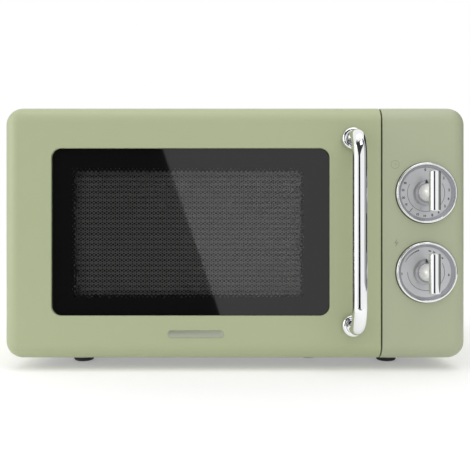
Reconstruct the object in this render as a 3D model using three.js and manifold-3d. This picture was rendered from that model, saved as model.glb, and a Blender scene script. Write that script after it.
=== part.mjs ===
import * as THREE from "three";
import { mergeVertices } from "three/addons/utils/BufferGeometryUtils.js";
import Module from "manifold-3d";

const wasm = await Module();
wasm.setup();

// Driving dimensions in millimetres. +X right, -Y front, +Z up, floor at z = 0.
const WIDTH = 451; // cabinet and front, side to side
const TOP = 257.5; // top of the cabinet above the floor
const BOTTOM = 11.5; // underside of the front above the floor
const FACE_Y = -149; // front face of the door and the control panel
const DOOR_BACK_Y = -119; // back plane of the closed door
const PLATE_Y = -117.5; // front face of the cavity front plate
const BACK_Y = 192.9; // rear edge of the cabinet wrapper
const GAP = 0.3; // clearance between touching pieces
const SHEET = 1.2; // steel sheet of the chassis
const WRAP_SHEET = 1.5; // painted cabinet sheet
const EDGE_R = 16; // rounding of the front's outer edges
const CORNER_R = 17; // corner rounding seen from the front
const SKIN = 3; // moulded skin of the door and the panel
const SEAM_X = 141.8; // split between the door and the control panel
const SEAM_GAP = 1.5;
const HINGE_X = -213.5; // vertical hinge axis
const HINGE_Y = -131;
const HINGE_CORNER_R = 12; // rear corner of the door, round about the hinge axis
const WINDOW = { x0: -177.6, x1: 91.6, z0: 54.4, z1: 216.4, r: 9.5 };
const CAVITY = { x0: -199, x1: 107, z0: 30, z1: 238, r: 8 };
const CAVITY_BACK_Y = 180.5;
const BEZEL_R = 29.3; // outer radius of the chrome rings round the dials
const SPINDLE_R = 3;
const GRIP = { r: 5.2, half: 18.5, y: -175.2 }; // cross bar of each knob
const KNOB_X = 184.5;
const TIMER_Z = 173.1;
const POWER_Z = 96.6;
const HANDLE = { x: 113.4, z0: 45.4, z1: 225.1, r: 6.9, reach: 37, bend: 22 };
const TABLE_X = -46; // turntable axis
const TABLE_Y = 31.5;
const TRAY_R = 122.5;
const ROLLER_R = 7;
const ROLLER_TRACK = 95; // radius of the roller track about the turntable axis
const FAN = { x: 166, z: 178, r: 43 };
const BASE_HALF = 206; // half width of the opening between the wrapper's lower edges
const FOOT_X = 160;
const FOOT_FRONT_Y = -89;
const FOOT_REAR_Y = 160;
const FOOT_NECK_R = 4;
const VENT_PITCH = 9; // pressed air slots in the cabinet sheets
const VENT_HEIGHT = 3;
const GLAND = { x: 150, z: 50, bore: 7.5 }; // cord opening of the rear panel
const ANTENNA = { y: 40, z: 190, r: 8 }; // magnetron antenna in its waveguide
const LAMP = { y: 120, z: 206 };
const LATCH = { x0: 126, x1: 134, upper: 193, lower: 62, hook: 8, lift: 4 };

const LEFT = -WIDTH / 2;
const RIGHT = WIDTH / 2;

// A closed geometry as a solid for cutting and joining.
function solid(geometry) {
  const bare = geometry.index ? geometry.toNonIndexed() : geometry.clone();
  bare.deleteAttribute("normal");
  bare.deleteAttribute("uv");
  const merged = mergeVertices(bare, 1e-4);
  const triVerts = new Uint32Array(merged.index.array);
  const vertProperties = merged.attributes.position.array;
  return new wasm.Manifold(new wasm.Mesh({ numProp: 3, vertProperties, triVerts }));
}

// One named piece from a solid and its material.
function piece(name, body, material) {
  const made = body.getMesh();
  const geometry = new THREE.BufferGeometry();
  const position = new THREE.BufferAttribute(new Float32Array(made.vertProperties), 3);
  geometry.setAttribute("position", position);
  geometry.setIndex(new THREE.BufferAttribute(new Uint32Array(made.triVerts), 1));
  geometry.computeVertexNormals();
  const mesh = new THREE.Mesh(geometry, material);
  mesh.name = name;
  return mesh;
}

function joined(bodies) {
  return bodies.reduce((sum, body) => sum.add(body));
}

function cut(body, tools) {
  return tools.reduce((rest, tool) => rest.subtract(tool), body);
}

function box(x0, x1, y0, y1, z0, z1) {
  const geometry = new THREE.BoxGeometry(x1 - x0, y1 - y0, z1 - z0);
  geometry.translate((x0 + x1) / 2, (y0 + y1) / 2, (z0 + z1) / 2);
  return solid(geometry);
}

// Round bar along x, y or z between two stations.
function rod(axis, a, b, r, s0, s1, sides = 20) {
  const geometry = new THREE.CylinderGeometry(r, r, s1 - s0, sides);
  const mid = (s0 + s1) / 2;
  if (axis === "x") {
    geometry.rotateZ(-Math.PI / 2).translate(mid, a, b);
  } else if (axis === "y") {
    geometry.translate(a, mid, b);
  } else {
    geometry.rotateX(Math.PI / 2).translate(a, b, mid);
  }
  return solid(geometry);
}

function roundedRect(x0, x1, z0, z1, r) {
  const shape = new THREE.Shape();
  shape.moveTo(x0 + r, z0);
  shape.lineTo(x1 - r, z0);
  shape.absarc(x1 - r, z0 + r, r, -Math.PI / 2, 0);
  shape.lineTo(x1, z1 - r);
  shape.absarc(x1 - r, z1 - r, r, 0, Math.PI / 2);
  shape.lineTo(x0 + r, z1);
  shape.absarc(x0 + r, z1 - r, r, Math.PI / 2, Math.PI);
  shape.lineTo(x0, z0 + r);
  shape.absarc(x0 + r, z0 + r, r, Math.PI, Math.PI * 1.5);
  return shape;
}

// Flat outline in x and z, given thickness from y0 back to y1.
function slab(shape, y0, y1, curveSegments = 4) {
  const settings = { depth: y1 - y0, bevelEnabled: false, curveSegments };
  const geometry = new THREE.ExtrudeGeometry(shape, settings);
  geometry.rotateX(Math.PI / 2).translate(0, y1, 0);
  return solid(geometry);
}

function roundedSlab(x0, x1, z0, z1, r, y0, y1, curveSegments = 4) {
  return slab(roundedRect(x0, x1, z0, z1, r), y0, y1, curveSegments);
}

// Turned piece: profile of [radius, height] pairs about an axis along z or y.
function turned(profile, sides, axis, x, y, z) {
  let area = 0;
  profile.forEach(([r, h], i) => {
    const [r2, h2] = profile[(i + 1) % profile.length];
    area += r * h2 - r2 * h;
  });
  const ordered = area > 0 ? profile : [...profile].reverse();
  const closed = ordered.every(([r]) => r > 0) ? [...ordered, ordered[0]] : ordered;
  const points = closed.map(([r, h]) => new THREE.Vector2(r, h));
  const geometry = new THREE.LatheGeometry(points, sides);
  if (axis === "z") geometry.rotateX(Math.PI / 2);
  geometry.translate(x, y, z);
  return solid(geometry);
}

// Closed skin over equal convex loops of points, capped at both ends.
function loft(loops) {
  const count = loops[0].length;
  const positions = loops.flat(2);
  const index = [];
  for (let k = 0; k + 1 < loops.length; k += 1) {
    for (let i = 0; i < count; i += 1) {
      const a = k * count + i;
      const b = k * count + ((i + 1) % count);
      index.push(a, a + count, b, b, a + count, b + count);
    }
  }
  const last = (loops.length - 1) * count;
  for (let i = 1; i + 1 < count; i += 1) {
    index.push(0, i, i + 1);
    index.push(last, last + i + 1, last + i);
  }
  const geometry = new THREE.BufferGeometry();
  geometry.setAttribute("position", new THREE.Float32BufferAttribute(positions, 3));
  geometry.setIndex(index);
  return solid(geometry);
}

// Full front with its four outer edges rounded, before it is split at the seam.
function frontBlank(backY) {
  const filletSteps = 6;
  const cornerSteps = 5;
  const loopAt = (inset, y) => {
    const radius = CORNER_R - inset;
    const corners = [
      [RIGHT - CORNER_R, BOTTOM + CORNER_R, -Math.PI / 2],
      [RIGHT - CORNER_R, TOP - CORNER_R, 0],
      [LEFT + CORNER_R, TOP - CORNER_R, Math.PI / 2],
      [LEFT + CORNER_R, BOTTOM + CORNER_R, Math.PI],
    ];
    return corners.flatMap(([cx, cz, start]) =>
      Array.from({ length: cornerSteps + 1 }, (_, i) => {
        const a = start + (i / cornerSteps) * (Math.PI / 2);
        return [cx + radius * Math.cos(a), y, cz + radius * Math.sin(a)];
      }),
    );
  };
  const loops = [];
  for (let i = 0; i <= filletSteps; i += 1) {
    const a = (i / filletSteps) * (Math.PI / 2);
    loops.push(loopAt(EDGE_R * (1 - Math.sin(a)), FACE_Y + EDGE_R * (1 - Math.cos(a))));
  }
  loops.push(loopAt(0, backY));
  return loft(loops);
}

function doorPaint() {
  return new THREE.MeshStandardMaterial({ color: 0xa9b08c, roughness: 0.35, metalness: 0.1 });
}

function panelPaint() {
  return new THREE.MeshStandardMaterial({ color: 0xa5ae93, roughness: 0.35, metalness: 0.1 });
}

function cabinetPaint() {
  return new THREE.MeshStandardMaterial({ color: 0xa7ae8b, roughness: 0.4, metalness: 0.2 });
}

function zincSteel() {
  return new THREE.MeshStandardMaterial({ color: 0xb4b7b8, roughness: 0.45, metalness: 0.9 });
}

function cavityEnamel() {
  return new THREE.MeshStandardMaterial({ color: 0xc9c8c1, roughness: 0.4, metalness: 0.2 });
}

function blackSteel() {
  return new THREE.MeshStandardMaterial({ color: 0x1c1c1c, roughness: 0.5, metalness: 0.4 });
}

function blackPlastic() {
  return new THREE.MeshStandardMaterial({ color: 0x1e1e1e, roughness: 0.55, metalness: 0 });
}

function whitePlastic() {
  return new THREE.MeshStandardMaterial({ color: 0xe2e0d8, roughness: 0.5, metalness: 0 });
}

function chrome() {
  return new THREE.MeshStandardMaterial({ color: 0xdfe1e2, roughness: 0.08, metalness: 1 });
}

function satinSilver() {
  return new THREE.MeshStandardMaterial({ color: 0xc3c5c5, roughness: 0.4, metalness: 0.8 });
}

function blackGlass() {
  return new THREE.MeshStandardMaterial({ color: 0x101010, roughness: 0.05, metalness: 0 });
}

function clearGlass() {
  return new THREE.MeshStandardMaterial({ color: 0xcfd8d4, roughness: 0.05, metalness: 0 });
}

function copperWire() {
  return new THREE.MeshStandardMaterial({ color: 0xa05a2c, roughness: 0.4, metalness: 0.7 });
}

function blackRubber() {
  return new THREE.MeshStandardMaterial({ color: 0x2b2b29, roughness: 0.85, metalness: 0 });
}

function micaBoard() {
  return new THREE.MeshStandardMaterial({ color: 0xb9ab8c, roughness: 0.7, metalness: 0 });
}

function circuitBoard() {
  return new THREE.MeshStandardMaterial({ color: 0xa98d52, roughness: 0.7, metalness: 0 });
}

// Cabinet wrapper: one sheet bent over the sides and the top, slotted for air.
function outerCabinet() {
  const y0 = PLATE_Y + GAP;
  const w = WRAP_SHEET;
  const outer = roundedSlab(LEFT, RIGHT, BOTTOM, TOP, CORNER_R, y0, BACK_Y, 5);
  const r = CORNER_R - w;
  const y1 = BACK_Y + 1;
  const inner = roundedSlab(LEFT + w, RIGHT - w, BOTTOM + w, TOP - w, r, y0 - 1, y1, 5);
  const opening = box(-BASE_HALF, BASE_HALF, y0 - 1, y1, BOTTOM - 1, BOTTOM + 5);
  const intake = { y0: 100, y1: 160, z: 60 };
  const outlet = { y0: -80, y1: -20, z: 170 };
  const slots = [];
  for (let i = 0; i < 7; i += 1) {
    const low = intake.z + i * VENT_PITCH;
    const high = outlet.z + i * VENT_PITCH;
    slots.push(box(RIGHT - 3, RIGHT + 1, intake.y0, intake.y1, low, low + VENT_HEIGHT));
    slots.push(box(LEFT - 1, LEFT + 3, outlet.y0, outlet.y1, high, high + VENT_HEIGHT));
  }
  return piece("outer_cabinet", cut(outer, [inner, opening, ...slots]), cabinetPaint());
}

// Base plate: sheet with a pressed hollow boss over each foot and one at the front.
function basePlate() {
  const footBoss = { r: 15, low: 5 };
  const frontBoss = { x: 76, y: -100, r: 8, low: 5.5 };
  const flare = 4;
  const z0 = BOTTOM + 0.5;
  const z1 = z0 + SHEET;
  const xe = BASE_HALF - GAP;
  const y0 = PLATE_Y + 2;
  let plate = roundedSlab(-xe, xe, z0, z1, 0.5, y0, BACK_Y - 3.5, 1);
  const outer = [];
  const inner = [];
  const boss = (x, y, r, low) => {
    const out = [[0, low], [r, low], [r + flare, z0 + 0.4], [0, z0 + 0.4]];
    const hollow = [
      [0, low + SHEET],
      [r - 1, low + SHEET],
      [r + flare - 1, z1 + 1],
      [0, z1 + 1],
    ];
    outer.push(turned(out, 14, "z", x, y, 0));
    inner.push(turned(hollow, 14, "z", x, y, 0));
  };
  footPlaces().forEach(([x, y]) => {
    boss(x, y, footBoss.r, footBoss.low);
    inner.push(rod("z", x, y, FOOT_NECK_R + GAP, 3, 9, 16));
  });
  boss(frontBoss.x, frontBoss.y, frontBoss.r, frontBoss.low);
  for (let i = 0; i < 6; i += 1) {
    inner.push(box(130, 200, 60 + i * 8, 63 + i * 8, z0 - 1, z1 + 1));
  }
  plate = cut(joined([plate, ...outer]), inner);
  return piece("base_plate", plate, zincSteel());
}

function footPlaces() {
  return [
    [-FOOT_X, FOOT_FRONT_Y],
    [FOOT_X, FOOT_FRONT_Y],
    [-FOOT_X, FOOT_REAR_Y],
    [FOOT_X, FOOT_REAR_Y],
  ];
}

// Rubber feet: a rounded pad with a neck plugged through the boss of the base.
function feet() {
  const names = ["front_left", "front_right", "rear_left", "rear_right"];
  const profile = [
    [0, 0],
    [8.4, 0],
    [9.9, 0.7],
    [10.3, 2.2],
    [10.3, 4.7],
    [FOOT_NECK_R, 4.7],
    [FOOT_NECK_R, 8.6],
    [0, 8.6],
  ];
  return footPlaces().map(([x, y], i) =>
    piece("foot_" + names[i], turned(profile, 20, "z", x, y, 0), blackRubber()),
  );
}

// Rear panel: sheet inside the wrapper with the fan intake and the cord opening.
function rearPanel() {
  const x = RIGHT - WRAP_SHEET - GAP;
  const plate = roundedSlab(
    -x,
    x,
    BOTTOM + WRAP_SHEET + GAP,
    TOP - WRAP_SHEET - GAP,
    CORNER_R - WRAP_SHEET - GAP,
    BACK_Y - 3,
    BACK_Y - 3 + SHEET,
    5,
  );
  const reach = 36; // half the width and height of the fan's slotted area
  const holes = [rod("y", GLAND.x, GLAND.z, GLAND.bore, BACK_Y - 5, BACK_Y, 20)];
  for (let i = 0; i < 8; i += 1) {
    const z = FAN.z - reach + i * VENT_PITCH;
    holes.push(box(FAN.x - reach, FAN.x + reach, BACK_Y - 5, BACK_Y, z, z + 4));
  }
  for (let i = 0; i < 6; i += 1) {
    const z = 190 + i * 8;
    holes.push(box(-180, -110, BACK_Y - 5, BACK_Y, z, z + VENT_HEIGHT));
  }
  return piece("rear_panel", cut(plate, holes), zincSteel());
}

// Grommet that lines the cord opening of the rear panel.
function cordGland() {
  const y = BACK_Y - 3;
  const bore = 5;
  const neck = GLAND.bore - GAP;
  const lip = 9;
  const profile = [
    [bore, y - 3],
    [lip, y - 3],
    [lip, y - GAP],
    [neck, y - GAP],
    [neck, y + SHEET + GAP],
    [lip, y + SHEET + GAP],
    [lip, y + 2.8],
    [bore, y + 2.8],
  ];
  const body = turned(profile, 20, "y", GLAND.x, 0, GLAND.z);
  return piece("cord_gland", body, blackPlastic());
}

// Oven cavity: welded enamelled box, open to the front.
function cavityShell() {
  const { x0, x1, z0, z1, r } = CAVITY;
  const y0 = PLATE_Y + SHEET + GAP;
  const back = CAVITY_BACK_Y;
  const s = SHEET;
  const outer = roundedSlab(x0 - s, x1 + s, z0 - s, z1 + s, r + s, y0, back + s);
  const inner = roundedSlab(x0, x1, z0, z1, r, y0 - 1, back);
  const holes = [
    box(x1 - 1, x1 + 3, -10, 60, 166, 216),
    rod("z", TABLE_X, TABLE_Y, 8, z0 - 4, z0 + 1, 20),
    rod("x", LAMP.y, LAMP.z, 11, x1 - 1, x1 + 3, 20),
  ];
  for (let i = 0; i < 5; i += 1) {
    holes.push(box(x0 - 3, x0 + 1, -75, -30, 180 + i * 8, 183 + i * 8));
  }
  return piece("cavity_shell", cut(outer, [inner, ...holes]), cavityEnamel());
}

// Front plate: flat flange round the cavity mouth that the door seals against.
function cavityFrontPlate() {
  const { x0, x1, z0, z1, r } = CAVITY;
  const edge = LEFT + WRAP_SHEET + GAP;
  const y1 = PLATE_Y + SHEET;
  const plate = roundedSlab(
    edge,
    SEAM_X - 1,
    BOTTOM + 3,
    TOP - WRAP_SHEET - GAP,
    CORNER_R - WRAP_SHEET - GAP,
    PLATE_Y,
    y1,
    5,
  );
  const mouth = roundedSlab(x0, x1, z0, z1, r, PLATE_Y - 1, y1 + 1);
  const holes = hookSlots(PLATE_Y - 1, y1 + 1, 137);
  hingeTabs().forEach(([low, high]) => {
    holes.push(box(HINGE_X - 4.4, HINGE_X + 4.4, PLATE_Y - 1, y1 + 1, low - GAP, high + GAP));
  });
  return piece("cavity_front_plate", cut(plate, [mouth, ...holes]), cavityEnamel());
}

// Lower and upper side of each of the two hinge tabs.
function hingeTabs() {
  return [
    [18.6, 21.6],
    [247.4, 250.4],
  ];
}

// Openings for the latch hooks, tall enough for their lift.
function hookSlots(y0, y1, x1) {
  return [LATCH.upper, LATCH.lower].map((z) =>
    box(LATCH.x0 - 1.5, x1, y0, y1, z - 5, z + LATCH.hook + LATCH.lift + 1.5),
  );
}

// Mica sheet over the mouth of the waveguide.
function waveguideCover() {
  const x = CAVITY.x1;
  const sheet = box(x - 1.5, x - GAP, -18, 68, 158, 224);
  return piece("waveguide_cover", sheet, micaBoard());
}

// Hinge brackets: flange behind the front plate, tab through it, pin into the door.
function hingeBrackets() {
  const y1 = PLATE_Y + SHEET;
  return hingeTabs().map(([low, high], i) => {
    const upper = i === 1;
    const flangeLow = upper ? high - 36 : low;
    const flange = box(HINGE_X - 6, HINGE_X + 6, y1 + GAP, y1 + 2.3, flangeLow, flangeLow + 36);
    const tab = box(HINGE_X - 4, HINGE_X + 4, HINGE_Y, y1 + 2, low, high);
    const nose = rod("z", HINGE_X, HINGE_Y, 4, low, high, 20);
    const pinLow = upper ? low - 10 : high - 0.5;
    const pin = rod("z", HINGE_X, HINGE_Y, 2.6, pinLow, pinLow + 10.5, 16);
    const name = upper ? "hinge_bracket_upper" : "hinge_bracket_lower";
    return piece(name, joined([flange, tab, nose, pin]), zincSteel());
  });
}

// Left part of the split front, its rear hinge corner rounded about the axis.
function doorBlank() {
  const right = SEAM_X - SEAM_GAP / 2;
  const half = box(LEFT - 1, right, FACE_Y - 1, DOOR_BACK_Y + 1, BOTTOM - 1, TOP + 1);
  const corner = box(LEFT - 1, HINGE_X, HINGE_Y, DOOR_BACK_Y + 1, BOTTOM - 1, TOP + 1);
  const round = rod("z", HINGE_X, HINGE_Y, HINGE_CORNER_R, BOTTOM - 2, TOP + 2, 40);
  return frontBlank(DOOR_BACK_Y).intersect(half).subtract(corner.subtract(round));
}

// Door frame: moulded front with the window opening, hollow behind.
function doorFrame() {
  const column = HINGE_X + 5; // solid hinge column on the left
  const right = SEAM_X - SEAM_GAP / 2 - 3.5;
  const back = DOOR_BACK_Y + 1;
  const inFace = FACE_Y + SKIN;
  const w = WINDOW;
  const tools = [
    roundedSlab(w.x0, w.x1, w.z0, w.z1, w.r, FACE_Y - 1, inFace + 1, 6),
    box(column, right, inFace, back, BOTTOM + 12.5, TOP - 12.5),
    box(column, right, inFace + 8, back, BOTTOM + 4.3, TOP - 4.3),
  ];
  hingeTabs().forEach(([low, high], i) => {
    const front = HINGE_Y - 5.6;
    tools.push(box(LEFT - 5, HINGE_X + 4.5, front, back, low - GAP, high + GAP));
    const pinLow = i === 1 ? low - 11 : high;
    tools.push(rod("z", HINGE_X, HINGE_Y, 2.9, pinLow, pinLow + 11, 16));
  });
  const seat = box(LATCH.x0 - 2, right + 1, inFace - 1, -122, 232, TOP - 12);
  const frame = cut(doorBlank(), tools).add(seat);
  return piece("door_frame", frame, doorPaint());
}

// Black printed glass behind the front skin.
function doorGlass() {
  const { x0, x1, z0, z1 } = WINDOW;
  const y = FACE_Y + SKIN + GAP;
  const pane = roundedSlab(x0 - 6, x1 + 6, z0 - 6, z1 + 6, 12, y, y + 3);
  return piece("door_glass", pane, blackGlass());
}

// Steel screen behind the glass; its fine holes are part of its surface.
function doorScreen() {
  const sheet = roundedSlab(-196, 112, 32, 238, 6, -133, -132, 2);
  return piece("door_screen", sheet, blackSteel());
}

// Choke frame: steel ring with a groove that keeps the microwaves in.
function chokeFrame() {
  const y0 = -131.7;
  const y1 = -121.3;
  const ring = roundedSlab(-205, 122, 19, 250, 6, y0, y1, 2);
  const mouth = roundedSlab(-186, 94, 43, 226, 6, y0 - 1, y1 + 1, 2);
  const grooveOut = roundedSlab(-200, 117, 24, 245, 4, y0 + 3, y1 + 1, 2);
  const grooveIn = roundedSlab(-191, 99, 38, 231, 8, y0 + 2, y1 + 2, 2);
  const groove = grooveOut.subtract(grooveIn);
  return piece("choke_frame", cut(ring, [mouth, groove]), zincSteel());
}

// Choke cover: plastic frame that closes the back of the door.
function chokeCover() {
  const y0 = -121;
  const y1 = DOOR_BACK_Y - GAP;
  const column = HINGE_X + 5 + GAP;
  const right = SEAM_X - SEAM_GAP / 2 - 3.5 - GAP;
  const plate = roundedSlab(column, right, BOTTOM + 4.6, TOP - 4.6, 1, y0, y1, 1);
  const mouth = roundedSlab(-180, 88, 49, 220, 6, y0 - 1, y1 + 1, 2);
  const slots = hookSlots(y0 - 1, y1 + 1, LATCH.x1 + 1);
  return piece("choke_cover", cut(plate, [mouth, ...slots]), blackPlastic());
}

function doorInnerPane() {
  const pane = roundedSlab(-179.7, 87.7, 49.3, 219.7, 5.7, -121, DOOR_BACK_Y - 0.5, 2);
  return piece("door_inner_pane", pane, clearGlass());
}

// Latch hooks: one sliding bar with two hooks through the choke cover.
function latchHooks() {
  const { x0, x1, upper, lower, hook } = LATCH;
  const bodies = [box(x0, x1, -129, -122, lower, upper + hook + 4)];
  [upper, lower].forEach((z) => {
    bodies.push(box(x0, x1, -123, -97, z, z + hook));
    bodies.push(box(x0, x1, -104, -97, z - 3, z + 1));
  });
  return piece("latch_hooks", joined(bodies), whitePlastic());
}

// Small compression spring that returns the latch bar.
function latchSpring() {
  const x = (LATCH.x0 + LATCH.x1) / 2;
  const low = LATCH.upper + LATCH.hook + 4 + 1;
  const high = 232 - 1;
  const turns = 5;
  const radius = 3;
  class Helix extends THREE.Curve {
    getPoint(t, target = new THREE.Vector3()) {
      const a = t * turns * Math.PI * 2;
      const z = low + t * (high - low);
      return target.set(x + radius * Math.cos(a), -126 + radius * Math.sin(a), z);
    }
  }
  const wire = new THREE.Shape();
  wire.absarc(0, 0, 0.6, 0, Math.PI * 2);
  const settings = { steps: 36, extrudePath: new Helix(), curveSegments: 3, bevelEnabled: false };
  return piece("latch_spring", solid(new THREE.ExtrudeGeometry(wire, settings)), zincSteel());
}

// Door handle: bent chrome tube standing off the door.
function handleBar() {
  const { x, z0, z1, r, reach, bend } = HANDLE;
  const start = FACE_Y - GAP;
  const front = FACE_Y - reach;
  const path = new THREE.CurvePath();
  const at = (y, z) => new THREE.Vector3(x, y, z);
  const quarter = (a, b, c) => new THREE.QuadraticBezierCurve3(a, b, c);
  path.add(new THREE.LineCurve3(at(start, z0), at(front + bend, z0)));
  path.add(quarter(at(front + bend, z0), at(front, z0), at(front, z0 + bend)));
  path.add(new THREE.LineCurve3(at(front, z0 + bend), at(front, z1 - bend)));
  path.add(quarter(at(front, z1 - bend), at(front, z1), at(front + bend, z1)));
  path.add(new THREE.LineCurve3(at(front + bend, z1), at(start, z1)));
  const round = new THREE.Shape();
  round.absarc(0, 0, r, 0, Math.PI * 2);
  const settings = { steps: 30, extrudePath: path, curveSegments: 7, bevelEnabled: false };
  return piece("handle_bar", solid(new THREE.ExtrudeGeometry(round, settings)), chrome());
}

// Ferrules where the handle meets the door.
function handleFerrules() {
  const base = FACE_Y - GAP;
  const inner = HANDLE.r + GAP;
  const profile = [
    [inner, base],
    [10.75, base],
    [10.75, base - 3],
    [9.8, base - 5.5],
    [8.2, base - 6.8],
    [inner, base - 6.8],
  ];
  return [
    ["handle_ferrule_lower", HANDLE.z0],
    ["handle_ferrule_upper", HANDLE.z1],
  ].map(([name, z]) => piece(name, turned(profile, 24, "y", HANDLE.x, 0, z), chrome()));
}

// Control panel: right part of the split front with two round dial openings.
function controlPanel() {
  const left = SEAM_X + SEAM_GAP / 2;
  const back = PLATE_Y;
  const half = box(left, RIGHT + 1, FACE_Y - 1, back + 1, BOTTOM - 1, TOP + 1);
  const inFace = FACE_Y + SKIN;
  const tools = [
    box(left + 3.5, RIGHT - 11.5, inFace, back + 1, BOTTOM + 12.5, TOP - 12.5),
    roundedSlab(left + 3.5, RIGHT - 3.7, BOTTOM + 4.3, TOP - 4.3, 13, inFace + 8, back + 1),
    rod("y", KNOB_X, TIMER_Z, 28.5, FACE_Y - 1, inFace + 1, 40),
    rod("y", KNOB_X, POWER_Z, 28.5, FACE_Y - 1, inFace + 1, 40),
  ];
  const panel = cut(frontBlank(back).intersect(half), tools);
  return piece("control_panel", panel, panelPaint());
}

// Bezels: chrome rings standing a little proud of the panel.
function bezels() {
  const base = FACE_Y - GAP;
  const rim = FACE_Y - 4;
  const profile = [
    [26.8, FACE_Y + SKIN],
    [26.8, rim + 0.8],
    [27.5, rim],
    [28.6, rim],
    [BEZEL_R, rim + 1],
    [BEZEL_R, base],
    [28.2, base],
    [28.2, FACE_Y + SKIN],
  ];
  return [
    ["timer_bezel", TIMER_Z],
    ["power_bezel", POWER_Z],
  ].map(([name, z]) => piece(name, turned(profile, 36, "y", KNOB_X, 0, z), chrome()));
}

// Dial plates: printed satin discs set into the bezels.
function dialPlates() {
  const profile = [
    [5, FACE_Y + 0.1],
    [26.5, FACE_Y + 0.1],
    [26.5, FACE_Y + 1.6],
    [5, FACE_Y + 1.6],
  ];
  return [
    ["timer_dial", TIMER_Z],
    ["power_dial", POWER_Z],
  ].map(([name, z]) => piece(name, turned(profile, 36, "y", KNOB_X, 0, z), satinSilver()));
}

// Grip knob: domed stem that carries a round cross bar, bored for its spindle.
function gripKnob(name, z) {
  const base = FACE_Y - GAP;
  const stem = [
    [0, base],
    [12, base],
    [10.6, base - 0.9],
    [9.3, base - 2.2],
    [8.5, base - 4],
    [8.1, base - 8],
    [7.2, base - 12],
    [5.8, base - 15.5],
    [4.2, base - 18.5],
    [3.5, base - 22],
    [0, base - 22],
  ];
  const { r, half, y } = GRIP;
  const edge = 0.6;
  const profile = [
    [0, -half],
    [r - edge, -half],
    [r, edge - half],
    [r, half - edge],
    [r - edge, half],
    [0, half],
  ];
  const bar = turned(profile, 20, "z", KNOB_X, y, z);
  const bore = rod("y", KNOB_X, z, SPINDLE_R + GAP, base - 9, base + 1, 16);
  const body = turned(stem, 20, "y", KNOB_X, 0, z).add(bar).subtract(bore);
  return piece(name, body, chrome());
}

// Spindle that the knob turns.
function spindle(name, z) {
  return piece(name, rod("y", KNOB_X, z, SPINDLE_R, FACE_Y - 8.9, -126, 16), zincSteel());
}

// Clockwork timer: case with its strike bell behind.
function timerUnit() {
  const front = FACE_Y + SKIN + GAP;
  const z = TIMER_Z;
  const half = 28.5;
  const body = box(KNOB_X - half, KNOB_X + half, front, -108, z - half, z + half);
  const bell = turned(
    [[0, -108.5], [6, -108.5], [6, -104], [22, -103], [20, -98], [12, -95], [0, -94]],
    24,
    "y",
    KNOB_X,
    0,
    z,
  );
  const bore = rod("y", KNOB_X, z, SPINDLE_R + GAP, front - 1, -124, 16);
  return piece("timer_unit", cut(joined([body, bell]), [bore]), zincSteel());
}

function powerSelector() {
  const front = FACE_Y + SKIN + GAP;
  const z = POWER_Z;
  const half = 23;
  const body = box(KNOB_X - half, KNOB_X + half, front, -112, z - half, z + half);
  const tabs = [-12, 0, 12].map((x) =>
    box(KNOB_X + x - 3, KNOB_X + x + 3, -112.5, -104, z - 10, z - 9),
  );
  const bore = rod("y", KNOB_X, z, SPINDLE_R + GAP, front - 1, -124, 16);
  return piece("power_selector", cut(joined([body, ...tabs]), [bore]), whitePlastic());
}

// Magnetron: finned cooling block with its filter box and antenna.
function magnetron() {
  const x0 = 145;
  const x1 = 213;
  const block = box(x0, x1, 10, 95, 152, 214);
  const filter = box(x0 + 10, x1 - 10, 20, 85, 213.5, 236);
  const antenna = rod("x", ANTENNA.y, ANTENNA.z, ANTENNA.r, 124, x0 + 1, 20);
  const fins = [];
  for (let i = 0; i < 7; i += 1) {
    const z = 157 + i * 7.5;
    fins.push(box(x0 + 12, x1 + 1, 8, 40, z, z + 4.5));
    fins.push(box(x0 + 12, x1 + 1, 65, 97, z, z + 4.5));
  }
  return piece("magnetron", cut(joined([block, filter, antenna]), fins), zincSteel());
}

// Waveguide: box duct from the magnetron to the cavity wall.
function waveguide() {
  const x0 = CAVITY.x1 + SHEET + GAP;
  const x1 = 143.5;
  const outer = box(x0, x1, -16, 66, 160, 222);
  const inner = box(x0 - 1, x1 - 2, -14, 64, 162, 220);
  const port = rod("x", ANTENNA.y, ANTENNA.z, ANTENNA.r + 1, x1 - 3, x1 + 1, 20);
  return piece("waveguide", cut(outer, [inner, port]), zincSteel());
}

// Fan shroud: bulkhead with a round throat for the blade.
function fanShroud() {
  const plate = box(110, 219, 146, 148, 105, 248);
  const collar = rod("y", FAN.x, FAN.z, FAN.r + 5, 147, 164, 32);
  const throat = rod("y", FAN.x, FAN.z, FAN.r + 3, 145, 165, 32);
  return piece("fan_shroud", cut(joined([plate, collar]), [throat]), whitePlastic());
}

// Fan motor on two struts across the throat.
function fanMotor() {
  const { x, z } = FAN;
  const core = box(x - 24, x + 24, 168, 184, z - 22, z + 22);
  const strut = box(x - 54, x + 54, 164.6, 168.5, z - 5, z + 5);
  const bore = rod("y", x, z, 2.6, 164, 180, 16);
  return piece("fan_motor", cut(joined([core, strut]), [bore]), blackSteel());
}

// Five pitched blades on a hub with its shaft.
function fanBlade() {
  const { x, z, r } = FAN;
  const hub = rod("y", x, z, 11, 151, 162, 20);
  const shaft = rod("y", x, z, 2, 161, 178, 12);
  const blades = [];
  const count = 5;
  for (let i = 0; i < count; i += 1) {
    const blade = new THREE.BoxGeometry(r - 9, 1.6, 22);
    blade.rotateX(0.42).translate((r - 9) / 2 + 9, 0, 0);
    blade.rotateY((i * Math.PI * 2) / count).translate(x, 156.3, z);
    blades.push(solid(blade));
  }
  return piece("fan_blade", joined([hub, shaft, ...blades]), blackPlastic());
}

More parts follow.
